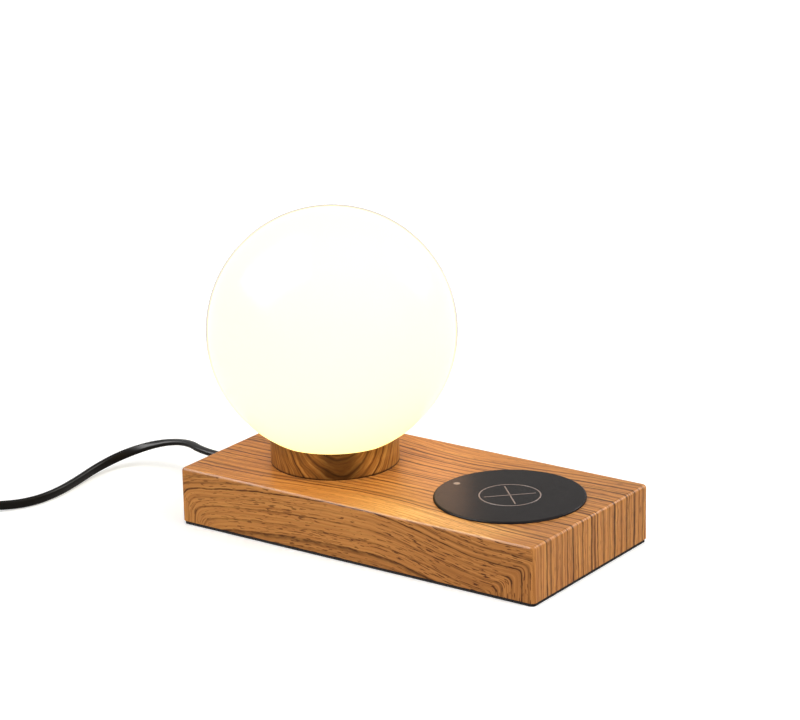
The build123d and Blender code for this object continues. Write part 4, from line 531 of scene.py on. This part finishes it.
def painted_highlight_beside_pad(tree, x, y, streaks):
    """The top's streaks, with a painted highlight: a paler run along its front edge, beside the pad, where
    the globe's light falls.
    """
    beside_front = add(tree, "ShaderNodeMapRange", SMOOTH, [y, -34.0, -48.0, 0.0, 0.22])
    from_middle = add(tree, "ShaderNodeMapRange", SMOOTH, [x, -45.0, 40.0, 0.0, 1.0])
    to_end = add(tree, "ShaderNodeMapRange", SMOOTH, [x, 85.0, 122.0, 1.0, 0.0])
    run = add(tree, "ShaderNodeMath", TIMES, [from_middle, to_end])
    return add(tree, "ShaderNodeMath", TIMES_PLUS, [run, beside_front, streaks])


def oiled_teak_veneer():
    """Teak veneer, sliced and oiled: dark ring lines over honey brown, short pores and a low satin shine."""
    material, tree = new_material("oiled_teak_veneer")
    place = millimetres(tree)
    x, y, z = add(tree, "ShaderNodeSeparateXYZ", None, [place]).outputs
    sweep = add(tree, "ShaderNodeMapping", None, {"Vector": place, "Scale": scales(72, 28, 72)})
    wander = add(tree, "ShaderNodeTexNoise", None, {"Vector": sweep, "Scale": 1.0, "Detail": 1.0})
    shake = add(tree, "ShaderNodeMapping", None, {"Vector": place, "Scale": scales(11, 5, 11)})
    shiver = add(tree, "ShaderNodeTexNoise", None, {"Vector": shake, "Scale": 1.0, "Detail": 2.0})
    waves = add(tree, "ShaderNodeMath", TIMES_PLUS, [wander, WANDER, -WANDER / 2])
    ripples = add(tree, "ShaderNodeMath", TIMES_PLUS, [shiver, SHIVER, -SHIVER / 2])
    warp = add(tree, "ShaderNodeMath", PLUS, [waves, ripples])
    across_top = rings_across_top(tree, x, y, warp)
    up_front = rings_up_front(tree, x, z, ripples)

    # The front and the back take the second set of rings, and all else takes the first
    facing = add(tree, "ShaderNodeTexCoord")
    ways = add(tree, "ShaderNodeSeparateXYZ", None, [facing.outputs["Normal"]])
    sideways = add(tree, "ShaderNodeMath", SIZE_OF, [ways.outputs[1]])
    is_front = add(tree, "ShaderNodeMapRange", SMOOTH, [sideways, FRONT_FROM, FRONT_WHOLE, 0.0, 1.0])
    top_share = add(tree, "ShaderNodeMapRange", None, [across_top, -TOP_REACH, TOP_REACH, 0.0, 1.0])
    front_share = add(tree, "ShaderNodeMapRange", None, [up_front, 0.0, FRONT_REACH, 0.0, 1.0])
    top_stops = line_stops(TOP_RINGS, -TOP_REACH, TOP_REACH)
    front_stops = line_stops(FRONT_RINGS, 0.0, FRONT_REACH)
    top_lines = add(tree, "ShaderNodeFloatCurve", None, {"Value": top_share}, top_stops)
    front_lines = add(tree, "ShaderNodeFloatCurve", None, {"Value": front_share}, front_stops)
    lines = add(tree, "ShaderNodeMix", NUMBERS, [is_front, None, top_lines, front_lines])
    ring_place = add(tree, "ShaderNodeMix", NUMBERS, [is_front, None, across_top, up_front])

    # Streaks, pores and wear lie along the rings
    along = add(tree, "ShaderNodeMath", PLUS, [x, z])
    grain = add(tree, "ShaderNodeCombineXYZ", None, [along, ring_place])
    streaks = streaks_along(tree, grain, 55, 1.3, 1)
    pores = short_pores(tree, grain)
    rings = worn_rings(tree, grain, lines, is_front)

    # The front is calmer than the top, and darker to the right
    calm = add(tree, "ShaderNodeMapRange", None, [streaks, 0.0, 1.0, 0.24, 0.80])
    darker_right = add(tree, "ShaderNodeMapRange", None, [x, -30.0, 110.0, 0.0, 0.07])
    front_tone = add(tree, "ShaderNodeMath", LESS, [calm, darker_right])
    # The top's tone carries a painted highlight, a paler run beside the pad
    top_tone = painted_highlight_beside_pad(tree, x, y, streaks)
    tone = add(tree, "ShaderNodeMix", NUMBERS, [is_front, None, top_tone, front_tone])
    browns = [(0.32, "935B2E"), (0.5, "BC7D43"), (0.68, "D29550"), (0.9, "F2B870")]
    ground = add(tree, "ShaderNodeValToRGB", None, [tone], browns)
    ringed = add(tree, "ShaderNodeMix", COLOURS, {SHARE: rings, FIRST: ground, SECOND: "43240F"})
    front_ink = add(tree, "ShaderNodeMapRange", None, [x, -125.0, 60.0, 0.50, 0.90])
    ink = add(tree, "ShaderNodeMix", NUMBERS, [is_front, None, 0.35, front_ink])
    inked = add(tree, "ShaderNodeMath", TIMES, [pores, ink])
    wood = {SHARE: inked, FIRST: ringed.outputs[MIXED], SECOND: "4A2B17"}
    colour = add(tree, "ShaderNodeMix", COLOURS, wood)
    relief = add(tree, "ShaderNodeMath", PLUS, [pores, rings])
    dent = add(tree, "ShaderNodeBump", INWARD, {"Strength": 0.25, "Distance": 0.0001, "Height": relief})
    shine = add(tree, "ShaderNodeMapRange", None, [streaks, 0.2, 0.8, 0.30, 0.40])
    shader = add(
        tree,
        "ShaderNodeBsdfPrincipled",
        None,
        {
            "Base Color": colour.outputs[MIXED],
            "Roughness": shine,
            "IOR": OIL_IOR,
            "Specular IOR Level": OIL_GLOSS,
            "Normal": dent,
        },
    )
    add(tree, "ShaderNodeOutputMaterial", None, {"Surface": shader})
    return material


def turned_teak():
    """Teak turned on a lathe and oiled: the rings cut through as nested bows, with painted shade at its foot,
    under the globe and in the bows' middle.
    """
    material, tree = new_material("turned_teak")
    to_collar = {"Vector": millimetres(tree), "Location": (-COLLAR_PLACE, 0.0, -COLLAR_FOOT)}
    centred = add(tree, "ShaderNodeMapping", None, to_collar)
    turned = add(tree, "ShaderNodeMapping", None, {"Vector": centred, "Rotation": (0, 0, COLLAR_TURN)})
    x, y, z = add(tree, "ShaderNodeSeparateXYZ", None, [turned]).outputs
    bend_place = add(tree, "ShaderNodeMapping", None, {"Vector": turned, "Scale": scales(20, 20, 11)})
    bends = add(tree, "ShaderNodeTexNoise", None, {"Vector": bend_place, "Scale": 1.0, "Detail": 2.0})
    bend = add(tree, "ShaderNodeMath", TIMES_PLUS, [bends, COLLAR_BEND, -COLLAR_BEND / 2])
    depth = add(tree, "ShaderNodeMath", TIMES_PLUS, [y, -1.0, bend])
    height = add(tree, "ShaderNodeMath", TIMES_PLUS, [z, COLLAR_CLIMB, depth])
    rings = add(tree, "ShaderNodeMath", TIMES_PLUS, [height, 1 / COLLAR_RINGS, COLLAR_RING_START])
    part = add(tree, "ShaderNodeMath", {"operation": "FRACT"}, [rings])
    stops = [(0.0, 0.5), (0.10, 0.0), (0.45, 0.1), (0.62, 0.35), (0.70, 0.1), (0.92, 1.0), (1.0, 0.5)]
    lines = add(tree, "ShaderNodeValToRGB", None, [part], stops)

    # Some rings are strong and some are faint, changing over 2.9 mm
    strong_place = add(tree, "ShaderNodeCombineXYZ", None, [height])
    strong = add(tree, "ShaderNodeTexNoise", None, {"Vector": strong_place, "Scale": 1 / 2.9, "Detail": 1.0})
    strength = add(tree, "ShaderNodeMapRange", None, [strong, 0.35, 0.62, 0.35, 0.95])
    ring_depth = add(tree, "ShaderNodeMath", TIMES, [lines, strength])
    grain = add(tree, "ShaderNodeCombineXYZ", None, [x, height, z])
    streaks = streaks_along(tree, grain, 20, 0.9, 16)
    paler_right = add(tree, "ShaderNodeMapRange", None, [x, -38.0, 38.0, -0.07, 0.09])
    tone = add(tree, "ShaderNodeMath", PLUS, [streaks, paler_right])
    browns = [(0.30, "7C4E20"), (0.5, "AA7033"), (0.7, "CC934A")]
    ground = add(tree, "ShaderNodeValToRGB", None, [tone], browns)
    ringed = add(tree, "ShaderNodeMix", COLOURS, {SHARE: ring_depth, FIRST: ground, SECOND: "3E2009"})

    # Painted shade: the collar is darkened at its foot as a contact shadow, under the globe, and in the
    # middle of the bows, where the globe's shade falls
    painted_foot_shadow = add(tree, "ShaderNodeMapRange", None, [z, 0.6, 1.5, 0.85, 0.0])
    painted_shade_under_globe = add(tree, "ShaderNodeMapRange", None, [z, 9.0, 16.0, 0.0, 0.35])
    off_shaded_middle = add(tree, "ShaderNodeMath", SIZE_OF, [x])
    painted_middle_shade = add(tree, "ShaderNodeMapRange", SMOOTH, [off_shaded_middle, 6.0, 20.0, 0.66, 0.0])
    shaded = add(tree, "ShaderNodeMath", LARGER, [painted_middle_shade, painted_shade_under_globe])
    dark = add(tree, "ShaderNodeMath", LARGER, [painted_foot_shadow, shaded])
    wood = {SHARE: dark, FIRST: ringed.outputs[MIXED], SECOND: "1E1006"}
    colour = add(tree, "ShaderNodeMix", COLOURS, wood)
    dent = add(tree, "ShaderNodeBump", INWARD, {"Strength": 0.2, "Distance": 0.0001, "Height": lines})
    shine = add(tree, "ShaderNodeMapRange", None, [streaks, 0.2, 0.8, 0.30, 0.42])
    shader = add(
        tree,
        "ShaderNodeBsdfPrincipled",
        None,
        {
            "Base Color": colour.outputs[MIXED],
            "Roughness": shine,
            "IOR": OIL_IOR,
            "Specular IOR Level": OIL_GLOSS,
            "Normal": dent,
        },
    )
    add(tree, "ShaderNodeOutputMaterial", None, {"Surface": shader})
    return material


# Other finishes


def lit_opal_glass():
    """Opal glass, blown with a clear skin and lit from inside: an even warm white, yellower low down."""
    material, tree = new_material("lit_opal_glass")
    place = millimetres(tree)
    heights = add(tree, "ShaderNodeSeparateXYZ", None, [place])
    # From the globe's foot, 42 mm up, to its top at 190 mm
    height = add(tree, "ShaderNodeMapRange", None, [heights.outputs[2], 42.0, 190.0, 0.0, 1.0])
    whites = [
        (0.08, "FFE793"),
        (0.21, "FFE79B"),
        (0.31, "FFE89F"),
        (0.40, "FFEAA1"),
        (0.66, "FFEBA3"),
        (0.86, "FFECA7"),
    ]
    glow = add(tree, "ShaderNodeValToRGB", None, [height], whites)
    # Painted shade: seen edge on, the glow is dimmed to a thin grey rim, but not down in the seat
    edge_on = add(tree, "ShaderNodeLayerWeight", None, {"Blend": 0.5})
    limb = add(tree, "ShaderNodeMapRange", None, [edge_on.outputs["Facing"], 0.80, 0.86, 0.0, 1.0])
    above_seat = add(tree, "ShaderNodeMapRange", None, [height, 0.12, 0.5, 0.0, 1.0])
    rim = add(tree, "ShaderNodeMath", TIMES, [limb, above_seat])
    light = add(tree, "ShaderNodeMix", COLOURS, {SHARE: rim, FIRST: glow, SECOND: "696159"})
    # Blown glass is a little wavy, over about 33 mm
    wavy = add(tree, "ShaderNodeTexNoise", None, {"Vector": place, "Scale": 1 / 33, "Detail": 2.0})
    shine = add(tree, "ShaderNodeMapRange", None, [wavy, 0.3, 0.7, 0.16, 0.24])
    shader = add(
        tree,
        "ShaderNodeBsdfPrincipled",
        None,
        {
            "Base Color": "8A8276",
            "Roughness": shine,
            "IOR": 1.52,
            "Specular IOR Level": 0.02,
            "Emission Color": light.outputs[MIXED],
            "Emission Strength": 2.0,
        },
    )
    add(tree, "ShaderNodeOutputMaterial", None, {"Surface": shader})
    return material


def frosted_polycarbonate():
    """Frosted polycarbonate, moulded with a matt skin and lit by the diodes behind it: a soft warm white."""
    material, tree = new_material("frosted_lit_cover")
    place = millimetres(tree)
    # Grains of frost are under 0.1 mm, and are drawn 0.33 mm wide, so that they show
    frost = add(tree, "ShaderNodeTexNoise", None, {"Vector": place, "Scale": 1 / 0.33, "Detail": 3.0})
    glow = add(tree, "ShaderNodeValToRGB", None, [frost], [(0.3, "FFE0B0"), (0.7, "FFEBC8")])
    dent = add(tree, "ShaderNodeBump", None, {"Strength": 0.15, "Distance": 0.00005, "Height": frost})
    shader = add(
        tree,
        "ShaderNodeBsdfPrincipled",
        None,
        {
            "Base Color": "F2EEE4",
            "Roughness": 0.45,
            "IOR": 1.58,
            "Emission Color": glow,
            "Emission Strength": 1.1,
            "Normal": dent,
        },
    )
    add(tree, "ShaderNodeOutputMaterial", None, {"Surface": shader})
    return material


def moulded(name, colour, darker, roughness, texture, depth, ior=1.50, gloss=0.5):
    """Moulded, pressed or extruded: one colour with a faint mottle, and the texture that its tool leaves."""
    material, tree = new_material(name)
    place = millimetres(tree)
    # The mottle is 8 mm across. Tool textures are near 0.1 mm, and each is drawn coarser, so that it shows
    mottle = add(tree, "ShaderNodeTexNoise", None, {"Vector": place, "Scale": 1 / 8, "Detail": 3.0})
    grain = add(tree, "ShaderNodeTexNoise", None, {"Vector": place, "Scale": 1 / texture, "Detail": 2.0})
    shade = add(tree, "ShaderNodeValToRGB", None, [mottle], [(0.3, darker), (0.7, colour)])
    dent = add(tree, "ShaderNodeBump", None, {"Strength": depth, "Distance": 0.00006, "Height": grain})
    shine = add(tree, "ShaderNodeMapRange", None, [grain, 0.3, 0.7, roughness - 0.04, roughness + 0.05])
    surface = {"Base Color": shade, "Roughness": shine, "IOR": ior, "Specular IOR Level": gloss}
    shader = add(tree, "ShaderNodeBsdfPrincipled", None, {**surface, "Normal": dent})
    add(tree, "ShaderNodeOutputMaterial", None, {"Surface": shader})
    return material


def plated(name, colour, darker, roughness):
    """Plated, rolled or drawn metal: bright with faint clouds, and the fine marks of its forming."""
    material, tree = new_material(name)
    place = millimetres(tree)
    # Clouds are 4 mm across. Forming marks are near 0.1 mm, and are drawn 0.55 mm wide, so that they show
    cloud = add(tree, "ShaderNodeTexNoise", None, {"Vector": place, "Scale": 1 / 4, "Detail": 3.0})
    marks = add(tree, "ShaderNodeTexNoise", None, {"Vector": place, "Scale": 1 / 0.55, "Detail": 3.0})
    shade = add(tree, "ShaderNodeValToRGB", None, [cloud], [(0.3, darker), (0.7, colour)])
    dent = add(tree, "ShaderNodeBump", None, {"Strength": 0.12, "Distance": 0.00003, "Height": marks})
    shine = add(tree, "ShaderNodeMapRange", None, [marks, 0.3, 0.7, roughness - 0.06, roughness + 0.08])
    surface = {"Base Color": shade, "Metallic": 1.0, "Roughness": shine, "Normal": dent}
    shader = add(tree, "ShaderNodeBsdfPrincipled", None, surface)
    add(tree, "ShaderNodeOutputMaterial", None, {"Surface": shader})
    return material


def closed_cell_foam():
    """Closed cell foam, cut to the base: near black, matt, with cells that show as fine pits."""
    material, tree = new_material("closed_cell_foam")
    place = millimetres(tree)
    # Real cells are 0.3 mm across, and are drawn 0.6 mm across, so that they show
    cells = add(tree, "ShaderNodeTexVoronoi", {"feature": "F1"}, {"Vector": place, "Scale": 1 / 0.6})
    shade = add(tree, "ShaderNodeValToRGB", None, [cells], [(0.1, "0E0D0D"), (0.6, "1E1B1A")])
    dent = add(tree, "ShaderNodeBump", None, {"Strength": 0.4, "Distance": 0.0002, "Height": cells})
    surface = {"Base Color": shade, "Roughness": 0.9, "Specular IOR Level": 0.2, "Normal": dent}
    shader = add(tree, "ShaderNodeBsdfPrincipled", None, surface)
    add(tree, "ShaderNodeOutputMaterial", None, {"Surface": shader})
    return material


def pressed_hardboard():
    """Hardboard, wood fibre pressed flat: brown, with short fibres lying every way."""
    material, tree = new_material("pressed_hardboard")
    # Bundles of fibres are 1.1 mm across
    bundles = {"Vector": millimetres(tree), "Scale": 1 / 1.1, "Detail": 6.0, "Roughness": 0.7}
    fibres = add(tree, "ShaderNodeTexNoise", None, bundles)
    browns = [(0.3, "4A3020"), (0.5, "6B4A30"), (0.7, "8A6442")]
    shade = add(tree, "ShaderNodeValToRGB", None, [fibres], browns)
    dent = add(tree, "ShaderNodeBump", None, {"Strength": 0.3, "Distance": 0.0001, "Height": fibres})
    surface = {"Base Color": shade, "Roughness": 0.7, "Normal": dent}
    shader = add(tree, "ShaderNodeBsdfPrincipled", None, surface)
    add(tree, "ShaderNodeOutputMaterial", None, {"Surface": shader})
    return material


def extruded_pvc_sheath():
    """Flexible PVC sheath, extruded: black with a soft sheen and faint lines along its length."""
    material, tree = new_material("extruded_pvc_sheath")
    # The cord's map is its length in metres by the share of its girth. Lines are 170 mm long, and each is
    # 0.1 mm wide on a real sheath and drawn 0.8 mm wide, so that it shows
    lead = add(tree, "ShaderNodeUVMap", {"uv_map": "cord_map"})
    line_scale = (1000 / 170, 1000 * CORD_GIRTH / 0.8, 1.0)
    line_place = add(tree, "ShaderNodeMapping", None, {"Vector": lead, "Scale": line_scale})
    lines = add(tree, "ShaderNodeTexNoise", None, {"Vector": line_place, "Scale": 1.0, "Detail": 3.0})
    shade = add(tree, "ShaderNodeValToRGB", None, [lines], [(0.3, "0D0B09"), (0.7, "15120F")])
    dent = add(tree, "ShaderNodeBump", None, {"Strength": 0.1, "Distance": 0.00005, "Height": lines})
    shine = add(tree, "ShaderNodeMapRange", None, [lines, 0.3, 0.7, 0.30, 0.40])
    surface = {"Base Color": shade, "Roughness": shine, "IOR": 1.53, "Specular IOR Level": 0.05}
    shader = add(tree, "ShaderNodeBsdfPrincipled", None, {**surface, "Normal": dent})
    add(tree, "ShaderNodeOutputMaterial", None, {"Surface": shader})
    return material


def solder_masked_board():
    """Glass fibre board under green solder mask: its weave and tracks show faintly through the lacquer."""
    material, tree = new_material("solder_masked_board")
    place = millimetres(tree)
    # Threads lie 0.6 mm apart, and a wave texture turns 20 radians for each unit of its scale
    threads = {"Vector": place, "Scale": math.tau / (20 * 0.6), "Distortion": 0.6}
    weave = add(tree, "ShaderNodeTexWave", {"wave_type": "BANDS"}, threads)
    # Tracks and pads lie 4.5 mm apart
    tracks = add(tree, "ShaderNodeTexVoronoi", {"distance": "MANHATTAN"}, {"Vector": place, "Scale": 1 / 4.5})
    shade = add(tree, "ShaderNodeValToRGB", None, [tracks], [(0.35, "1F5A38"), (0.45, "2C7048")])
    dent = add(tree, "ShaderNodeBump", None, {"Strength": 0.1, "Distance": 0.00005, "Height": weave})
    surface = {"Base Color": shade, "Roughness": 0.3, "IOR": 1.55, "Normal": dent}
    shader = add(tree, "ShaderNodeBsdfPrincipled", None, surface)
    add(tree, "ShaderNodeOutputMaterial", None, {"Surface": shader})
    return material


def dress(material, *names):
    """Gives CAD nodes their finish."""
    for name in names:
        for slot in NODES[name].material_slots:
            slot.material = material


# What shows: the wood, the globe, the foot, the cord, and the pad with its charging lamp

dress(oiled_teak_veneer(), "base_block")
dress(turned_teak(), "collar")
dress(lit_opal_glass(), "globe", "glass_neck")
dress(closed_cell_foam(), "foot_pad")
cord.data.materials.append(extruded_pvc_sheath())
# ABS, moulded and lacquered soft to the touch: a warm charcoal with a broad, low sheen
soft_touch_abs = moulded(
    "soft_touch_charcoal_abs", "242121", "201D1D", roughness=0.26, texture=0.35, depth=0.3, gloss=0.02
)
dress(soft_touch_abs, "pad_cover")
# Acrylic, moulded and polished: a small smoked window, smooth and faintly wavy
smoked_acrylic = moulded(
    "smoked_acrylic", "6E6D6B", "5E5D5B", roughness=0.16, texture=1.5, depth=0.05, ior=1.49, gloss=0.05
)
dress(smoked_acrylic, "indicator_lens")

# On the cord, and under the base and the pad

# ABS, moulded with a fine spark texture: black with a soft, dull shine
satin_abs = moulded(
    "satin_black_abs", "171615", "11100F", roughness=0.36, texture=0.3, depth=0.4, ior=1.53, gloss=0.10
)
dress(satin_abs, "switch_lower_shell", "switch_upper_shell")
# ABS from a polished mould: black with a small, sharper highlight
gloss_abs = moulded(
    "gloss_black_abs", "151413", "0F0E0E", roughness=0.22, texture=0.8, depth=0.08, ior=1.53, gloss=0.2
)
dress(gloss_abs, "switch_rocker")
# Soft PVC, moulded over the cord's ends: black and a little dull, as rubbery as the cord
soft_pvc = moulded(
    "moulded_black_pvc", "161513", "100F0D", roughness=0.42, texture=0.5, depth=0.2, ior=1.53, gloss=0.08
)
dress(soft_pvc, "plug_body", "strain_relief", "cord_inlet")
# Nylon, moulded with glass fibre in it: black and evenly matt
black_nylon = moulded(
    "black_nylon", "181716", "121110", roughness=0.5, texture=0.4, depth=0.3, ior=1.53, gloss=0.2
)
dress(black_nylon, "lock_ring", "pad_cap", "cord_tie")
dress(pressed_hardboard(), "bottom_plate")

# Inside the lamp

# Nylon, moulded and left undyed: a milky white with a dull shine
white_nylon = moulded("white_nylon", "E4E2DC", "D6D4CE", roughness=0.45, texture=0.5, depth=0.15)
dress(white_nylon, "terminal_block", "power_board_spacers", "cord_clamp")
# Polyester resin, moulded: a clean white with a mild shine
polyester = moulded("white_bulb_cap", "E8E6E0", "DAD8D2", roughness=0.40, texture=0.4, depth=0.1)
dress(polyester, "bulb_base")
dress(frosted_polycarbonate(), "bulb_cover")
# Aluminium board under white solder mask: bright white and smooth
white_board = moulded("white_led_board", "ECEBE6", "DDDCD6", roughness=0.35, texture=0.6, depth=0.05)
dress(white_board, "bulb_board")
# Steatite, a ceramic pressed, fired and left unglazed: a chalky off white
steatite = moulded("unglazed_steatite", "E6E3DA", "D2CEC4", roughness=0.62, texture=0.25, depth=0.4, ior=1.6)
dress(steatite, "holder_body")
# Ferrite, pressed and sintered: dark grey, dull and slightly grainy
ferrite = moulded("sintered_ferrite", "2B2B2E", "1E1E20", roughness=0.6, texture=0.3, depth=0.3)
dress(ferrite, "charger_ferrite")
dress(solder_masked_board(), "charger_board", "power_board")
# PVC, extruded over copper strands: brown or black, with a soft shine
brown_pvc = moulded("brown_lead_pvc", "5A3420", "4A2A19", roughness=0.40, texture=0.5, depth=0.1)
dress(brown_pvc, "mains_leads", "supply_leads")
black_pvc = moulded("black_lead_pvc", "1A1918", "131211", roughness=0.42, texture=0.5, depth=0.1)
dress(black_pvc, "pad_leads")
# Silicone rubber, extruded, because it stands the bulb's heat: white and dull
silicone = moulded(
    "white_silicone_lead", "E2E0D8", "D2D0C8", roughness=0.50, texture=0.5, depth=0.1, ior=1.41
)
dress(silicone, "lamp_leads")
# Copper wire under clear baked enamel: an orange red metal shine
dress(plated("enamelled_copper", "B5652F", "8A4620", roughness=0.32), "charger_coil")
# Brass, rolled and left bare: yellow, with a warm dull shine
dress(plated("spring_brass", "D2A951", "A8823A", roughness=0.28), "holder_contacts", "terminal_screws")
# Brass plated with nickel: a bright, slightly warm silver
dress(plated("nickel_plate", "D6D3CC", "BAB7B0", roughness=0.20), "plug_pins", "bulb_pins")
# Steel plated with zinc: a cool grey with a cloudy, half dull shine
zinc_plate = plated("zinc_plate", "C8CACC", "A4A8AC", roughness=0.30)
dress(zinc_plate, "gallery", "threaded_tube", "tube_nuts", "holder_bracket")
dress(zinc_plate, "bottom_screws", "collar_screws", "holder_screws", "clamp_screws", "switch_screws")
dress(zinc_plate, "charger_board_screws", "power_board_screws")


# Printed mark on the pad


def printed_mark_tree(ink):
    """Geometry Nodes: a ring and two crossed bars, as flat printed lines."""
    tree = bpy.data.node_groups.new("printed_mark", "GeometryNodeTree")
    tree.interface.new_socket("Mark", in_out="OUTPUT", socket_type="NodeSocketGeometry")
    for name, value in MARK_SIZES.items():
        socket = tree.interface.new_socket(name, in_out="INPUT", socket_type="NodeSocketFloat")
        socket.default_value = value
    given = add(tree, "NodeGroupInput").outputs
    circle = {"Resolution": MARK_RING_STEPS, "Radius": given["Ring Radius"]}
    ring = add(tree, "GeometryNodeCurvePrimitiveCircle", None, circle)
    back = add(tree, "ShaderNodeMath", TIMES, [given["Arm Length"], -1.0])
    tip = add(tree, "ShaderNodeCombineXYZ", None, [given["Arm Length"]])
    tail = add(tree, "ShaderNodeCombineXYZ", None, [back])
    bar = add(tree, "GeometryNodeCurvePrimitiveLine", None, {"Start": tail, "End": tip})
    cuts = add(tree, "GeometryNodeSubdivideCurve", None, {"Curve": bar, "Cuts": MARK_ARM_CUTS})
    lines = add(tree, "GeometryNodeJoinGeometry", None, [ring])
    for turn in (45, -45):
        crossed = {"Geometry": cuts, "Rotation": (0, 0, math.radians(turn))}
        arm = add(tree, "GeometryNodeTransform", None, crossed)
        tree.links.new(arm.outputs[0], lines.inputs[0])
    level = add(tree, "GeometryNodeSetCurveNormal", {"mode": "Z_UP"}, {"Curve": lines})
    flat = {"Width": given["Line Width"], "Height": given["Line Height"]}
    stroke = add(tree, "GeometryNodeCurvePrimitiveQuadrilateral", None, flat)
    drawing = {"Curve": level, "Profile Curve": stroke, "Fill Caps": True}
    drawn = add(tree, "GeometryNodeCurveToMesh", None, drawing)
    real = add(tree, "GeometryNodeRealizeInstances", None, [drawn])
    inked = add(tree, "GeometryNodeSetMaterial", None, {"Geometry": real, "Material": ink})
    add(tree, "NodeGroupOutput", None, [inked])
    return tree


def grown(name, tree, sizes, place, body):
    """A plain mesh from a Geometry Nodes tree, put in its place and riding its body."""
    holder = shown(name + "_seed", bpy.data.meshes.new(name + "_seed"))
    modifier = holder.modifiers.new(name, "NODES")
    modifier.node_group = tree
    for socket in tree.interface.items_tree:
        if socket.in_out == "INPUT" and socket.name in sizes:
            modifier[socket.identifier] = sizes[socket.name]
    bpy.context.view_layer.update()
    evaluated = holder.evaluated_get(bpy.context.evaluated_depsgraph_get())
    data = bpy.data.meshes.new_from_object(evaluated)
    holder.modifiers.remove(modifier)
    bpy.data.objects.remove(holder)
    data.transform(place)
    data.name = name
    piece = shown(name, data)
    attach(piece, body)
    return piece


# Pad printing ink: a thin bronze film, duller than the pad
bronze_ink = moulded("bronze_pad_printing", "6C554B", "624D45", roughness=0.5, texture=0.4, depth=0.1)
pad_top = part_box("pad_cover")[1].z
on_pad = Matrix.Translation((*PAD_CENTRE, pad_top + MARK_MIDDLE))
pad_mark = grown("pad_mark", printed_mark_tree(bronze_ink), MARK_SIZES, on_pad, "lamp_base")


# Stage: a pale floor, a white world and soft lamps

FLOOR_REACH = 6.0
FLOOR_LEVEL = -0.0002
WORLD_LIGHT = 0.36
BASE_MIDDLE = (0, 0, 0.03)
END_MIDDLE = (0.125, 0, 0.03)
PAD_LEFT_EDGE = (0.027, -0.012, 0.037)


def seen_directly(tree):
    """One for what is seen straight, in a mirror or through glass, and nothing for the light on things."""
    ray = add(tree, "ShaderNodeLightPath").outputs
    mirrored = add(tree, "ShaderNodeMath", LARGER, [ray["Is Camera Ray"], ray["Is Glossy Ray"]])
    return add(tree, "ShaderNodeMath", LARGER, [mirrored, ray["Is Transmission Ray"]])


def build_floor():
    """A wide pale floor just under the lamp's foot."""
    data = bpy.data.meshes.new("floor")
    sides = ((-1, -1), (1, -1), (1, 1), (-1, 1))
    corners = [(x * FLOOR_REACH, y * FLOOR_REACH, FLOOR_LEVEL) for x, y in sides]
    data.from_pydata(corners, [], [(0, 1, 2, 3)])
    floor = shown("floor", data)
    material, tree = new_material("pale_floor")
    # Up to 0.3 m from the lamp the floor keeps its shadow, and from 0.9 m it is plain white
    place = add(tree, "ShaderNodeTexCoord")
    far = add(tree, "ShaderNodeVectorMath", {"operation": "LENGTH"}, [place.outputs["Object"]])
    lift = add(tree, "ShaderNodeMapRange", SMOOTH, [far.outputs["Value"], 0.3, 0.9, 0.42, 1.0])
    seen = add(tree, "ShaderNodeMath", TIMES, [lift, seen_directly(tree)])
    plain = add(tree, "ShaderNodeBsdfDiffuse", None, {"Color": "E8E8E8"})
    glow = add(tree, "ShaderNodeEmission", None, {"Color": "FFFFFF", "Strength": seen})
    lit = add(tree, "ShaderNodeAddShader", None, [plain, glow])
    add(tree, "ShaderNodeOutputMaterial", None, {"Surface": lit})
    data.materials.append(material)


def light_world():
    """A world that is plain white where it is seen and a soft low light everywhere else."""
    world = bpy.data.worlds.new("studio")
    bpy.context.scene.world = world
    world.use_nodes = True
    tree = world.node_tree
    tree.nodes.clear()
    soft = add(tree, "ShaderNodeBackground", None, {"Color": "FFFFFF", "Strength": WORLD_LIGHT})
    white = add(tree, "ShaderNodeBackground", None, {"Color": "FFFFFF", "Strength": 1.0})
    mixed = add(tree, "ShaderNodeMixShader", None, [seen_directly(tree), soft, white])
    add(tree, "ShaderNodeOutputWorld", None, {"Surface": mixed})


def add_lamp(name, place, aim, size, watts, colour="FFFFFF", gloss_only=False):
    """A square soft lamp at a place, aimed at a point. With gloss_only it shows in reflections alone."""
    data = bpy.data.lights.new(name, "AREA")
    data.shape = "SQUARE"
    data.size = size
    data.energy = watts
    data.color = to_linear(colour)[:3]
    lamp = shown(name, data)
    lamp.location = place
    lamp.rotation_mode = "QUATERNION"
    lamp.rotation_quaternion = (Vector(aim) - Vector(place)).to_track_quat("-Z", "Y")
    lamp.visible_diffuse = not gloss_only


build_floor()
light_world()
add_lamp("right_softbox", (1.7, 0.1, 0.9), BASE_MIDDLE, size=1.0, watts=16.0)
add_lamp("front_softbox", (-0.5, -1.8, 0.9), BASE_MIDDLE, size=1.0, watts=14.0)
add_lamp("overhead_softbox", (0.2, 0.2, 1.7), BASE_MIDDLE, size=1.2, watts=12.0)
# For the bright lines along the front's top edge and the right end's, and for the globe's sheen on the pad
add_lamp("edge_softbox", (-0.82, -0.55, 1.18), BASE_MIDDLE, size=1.25, watts=230.0, gloss_only=True)
add_lamp("end_softbox", (0.65, 1.14, 0.85), END_MIDDLE, size=0.8, watts=36.0, gloss_only=True)
add_lamp("glow_past_globe", (-0.078, 0.140, 0.104), PAD_LEFT_EDGE, 0.035, 0.025, "FFC296", gloss_only=True)

bpy.context.scene.view_settings.view_transform = "Standard"
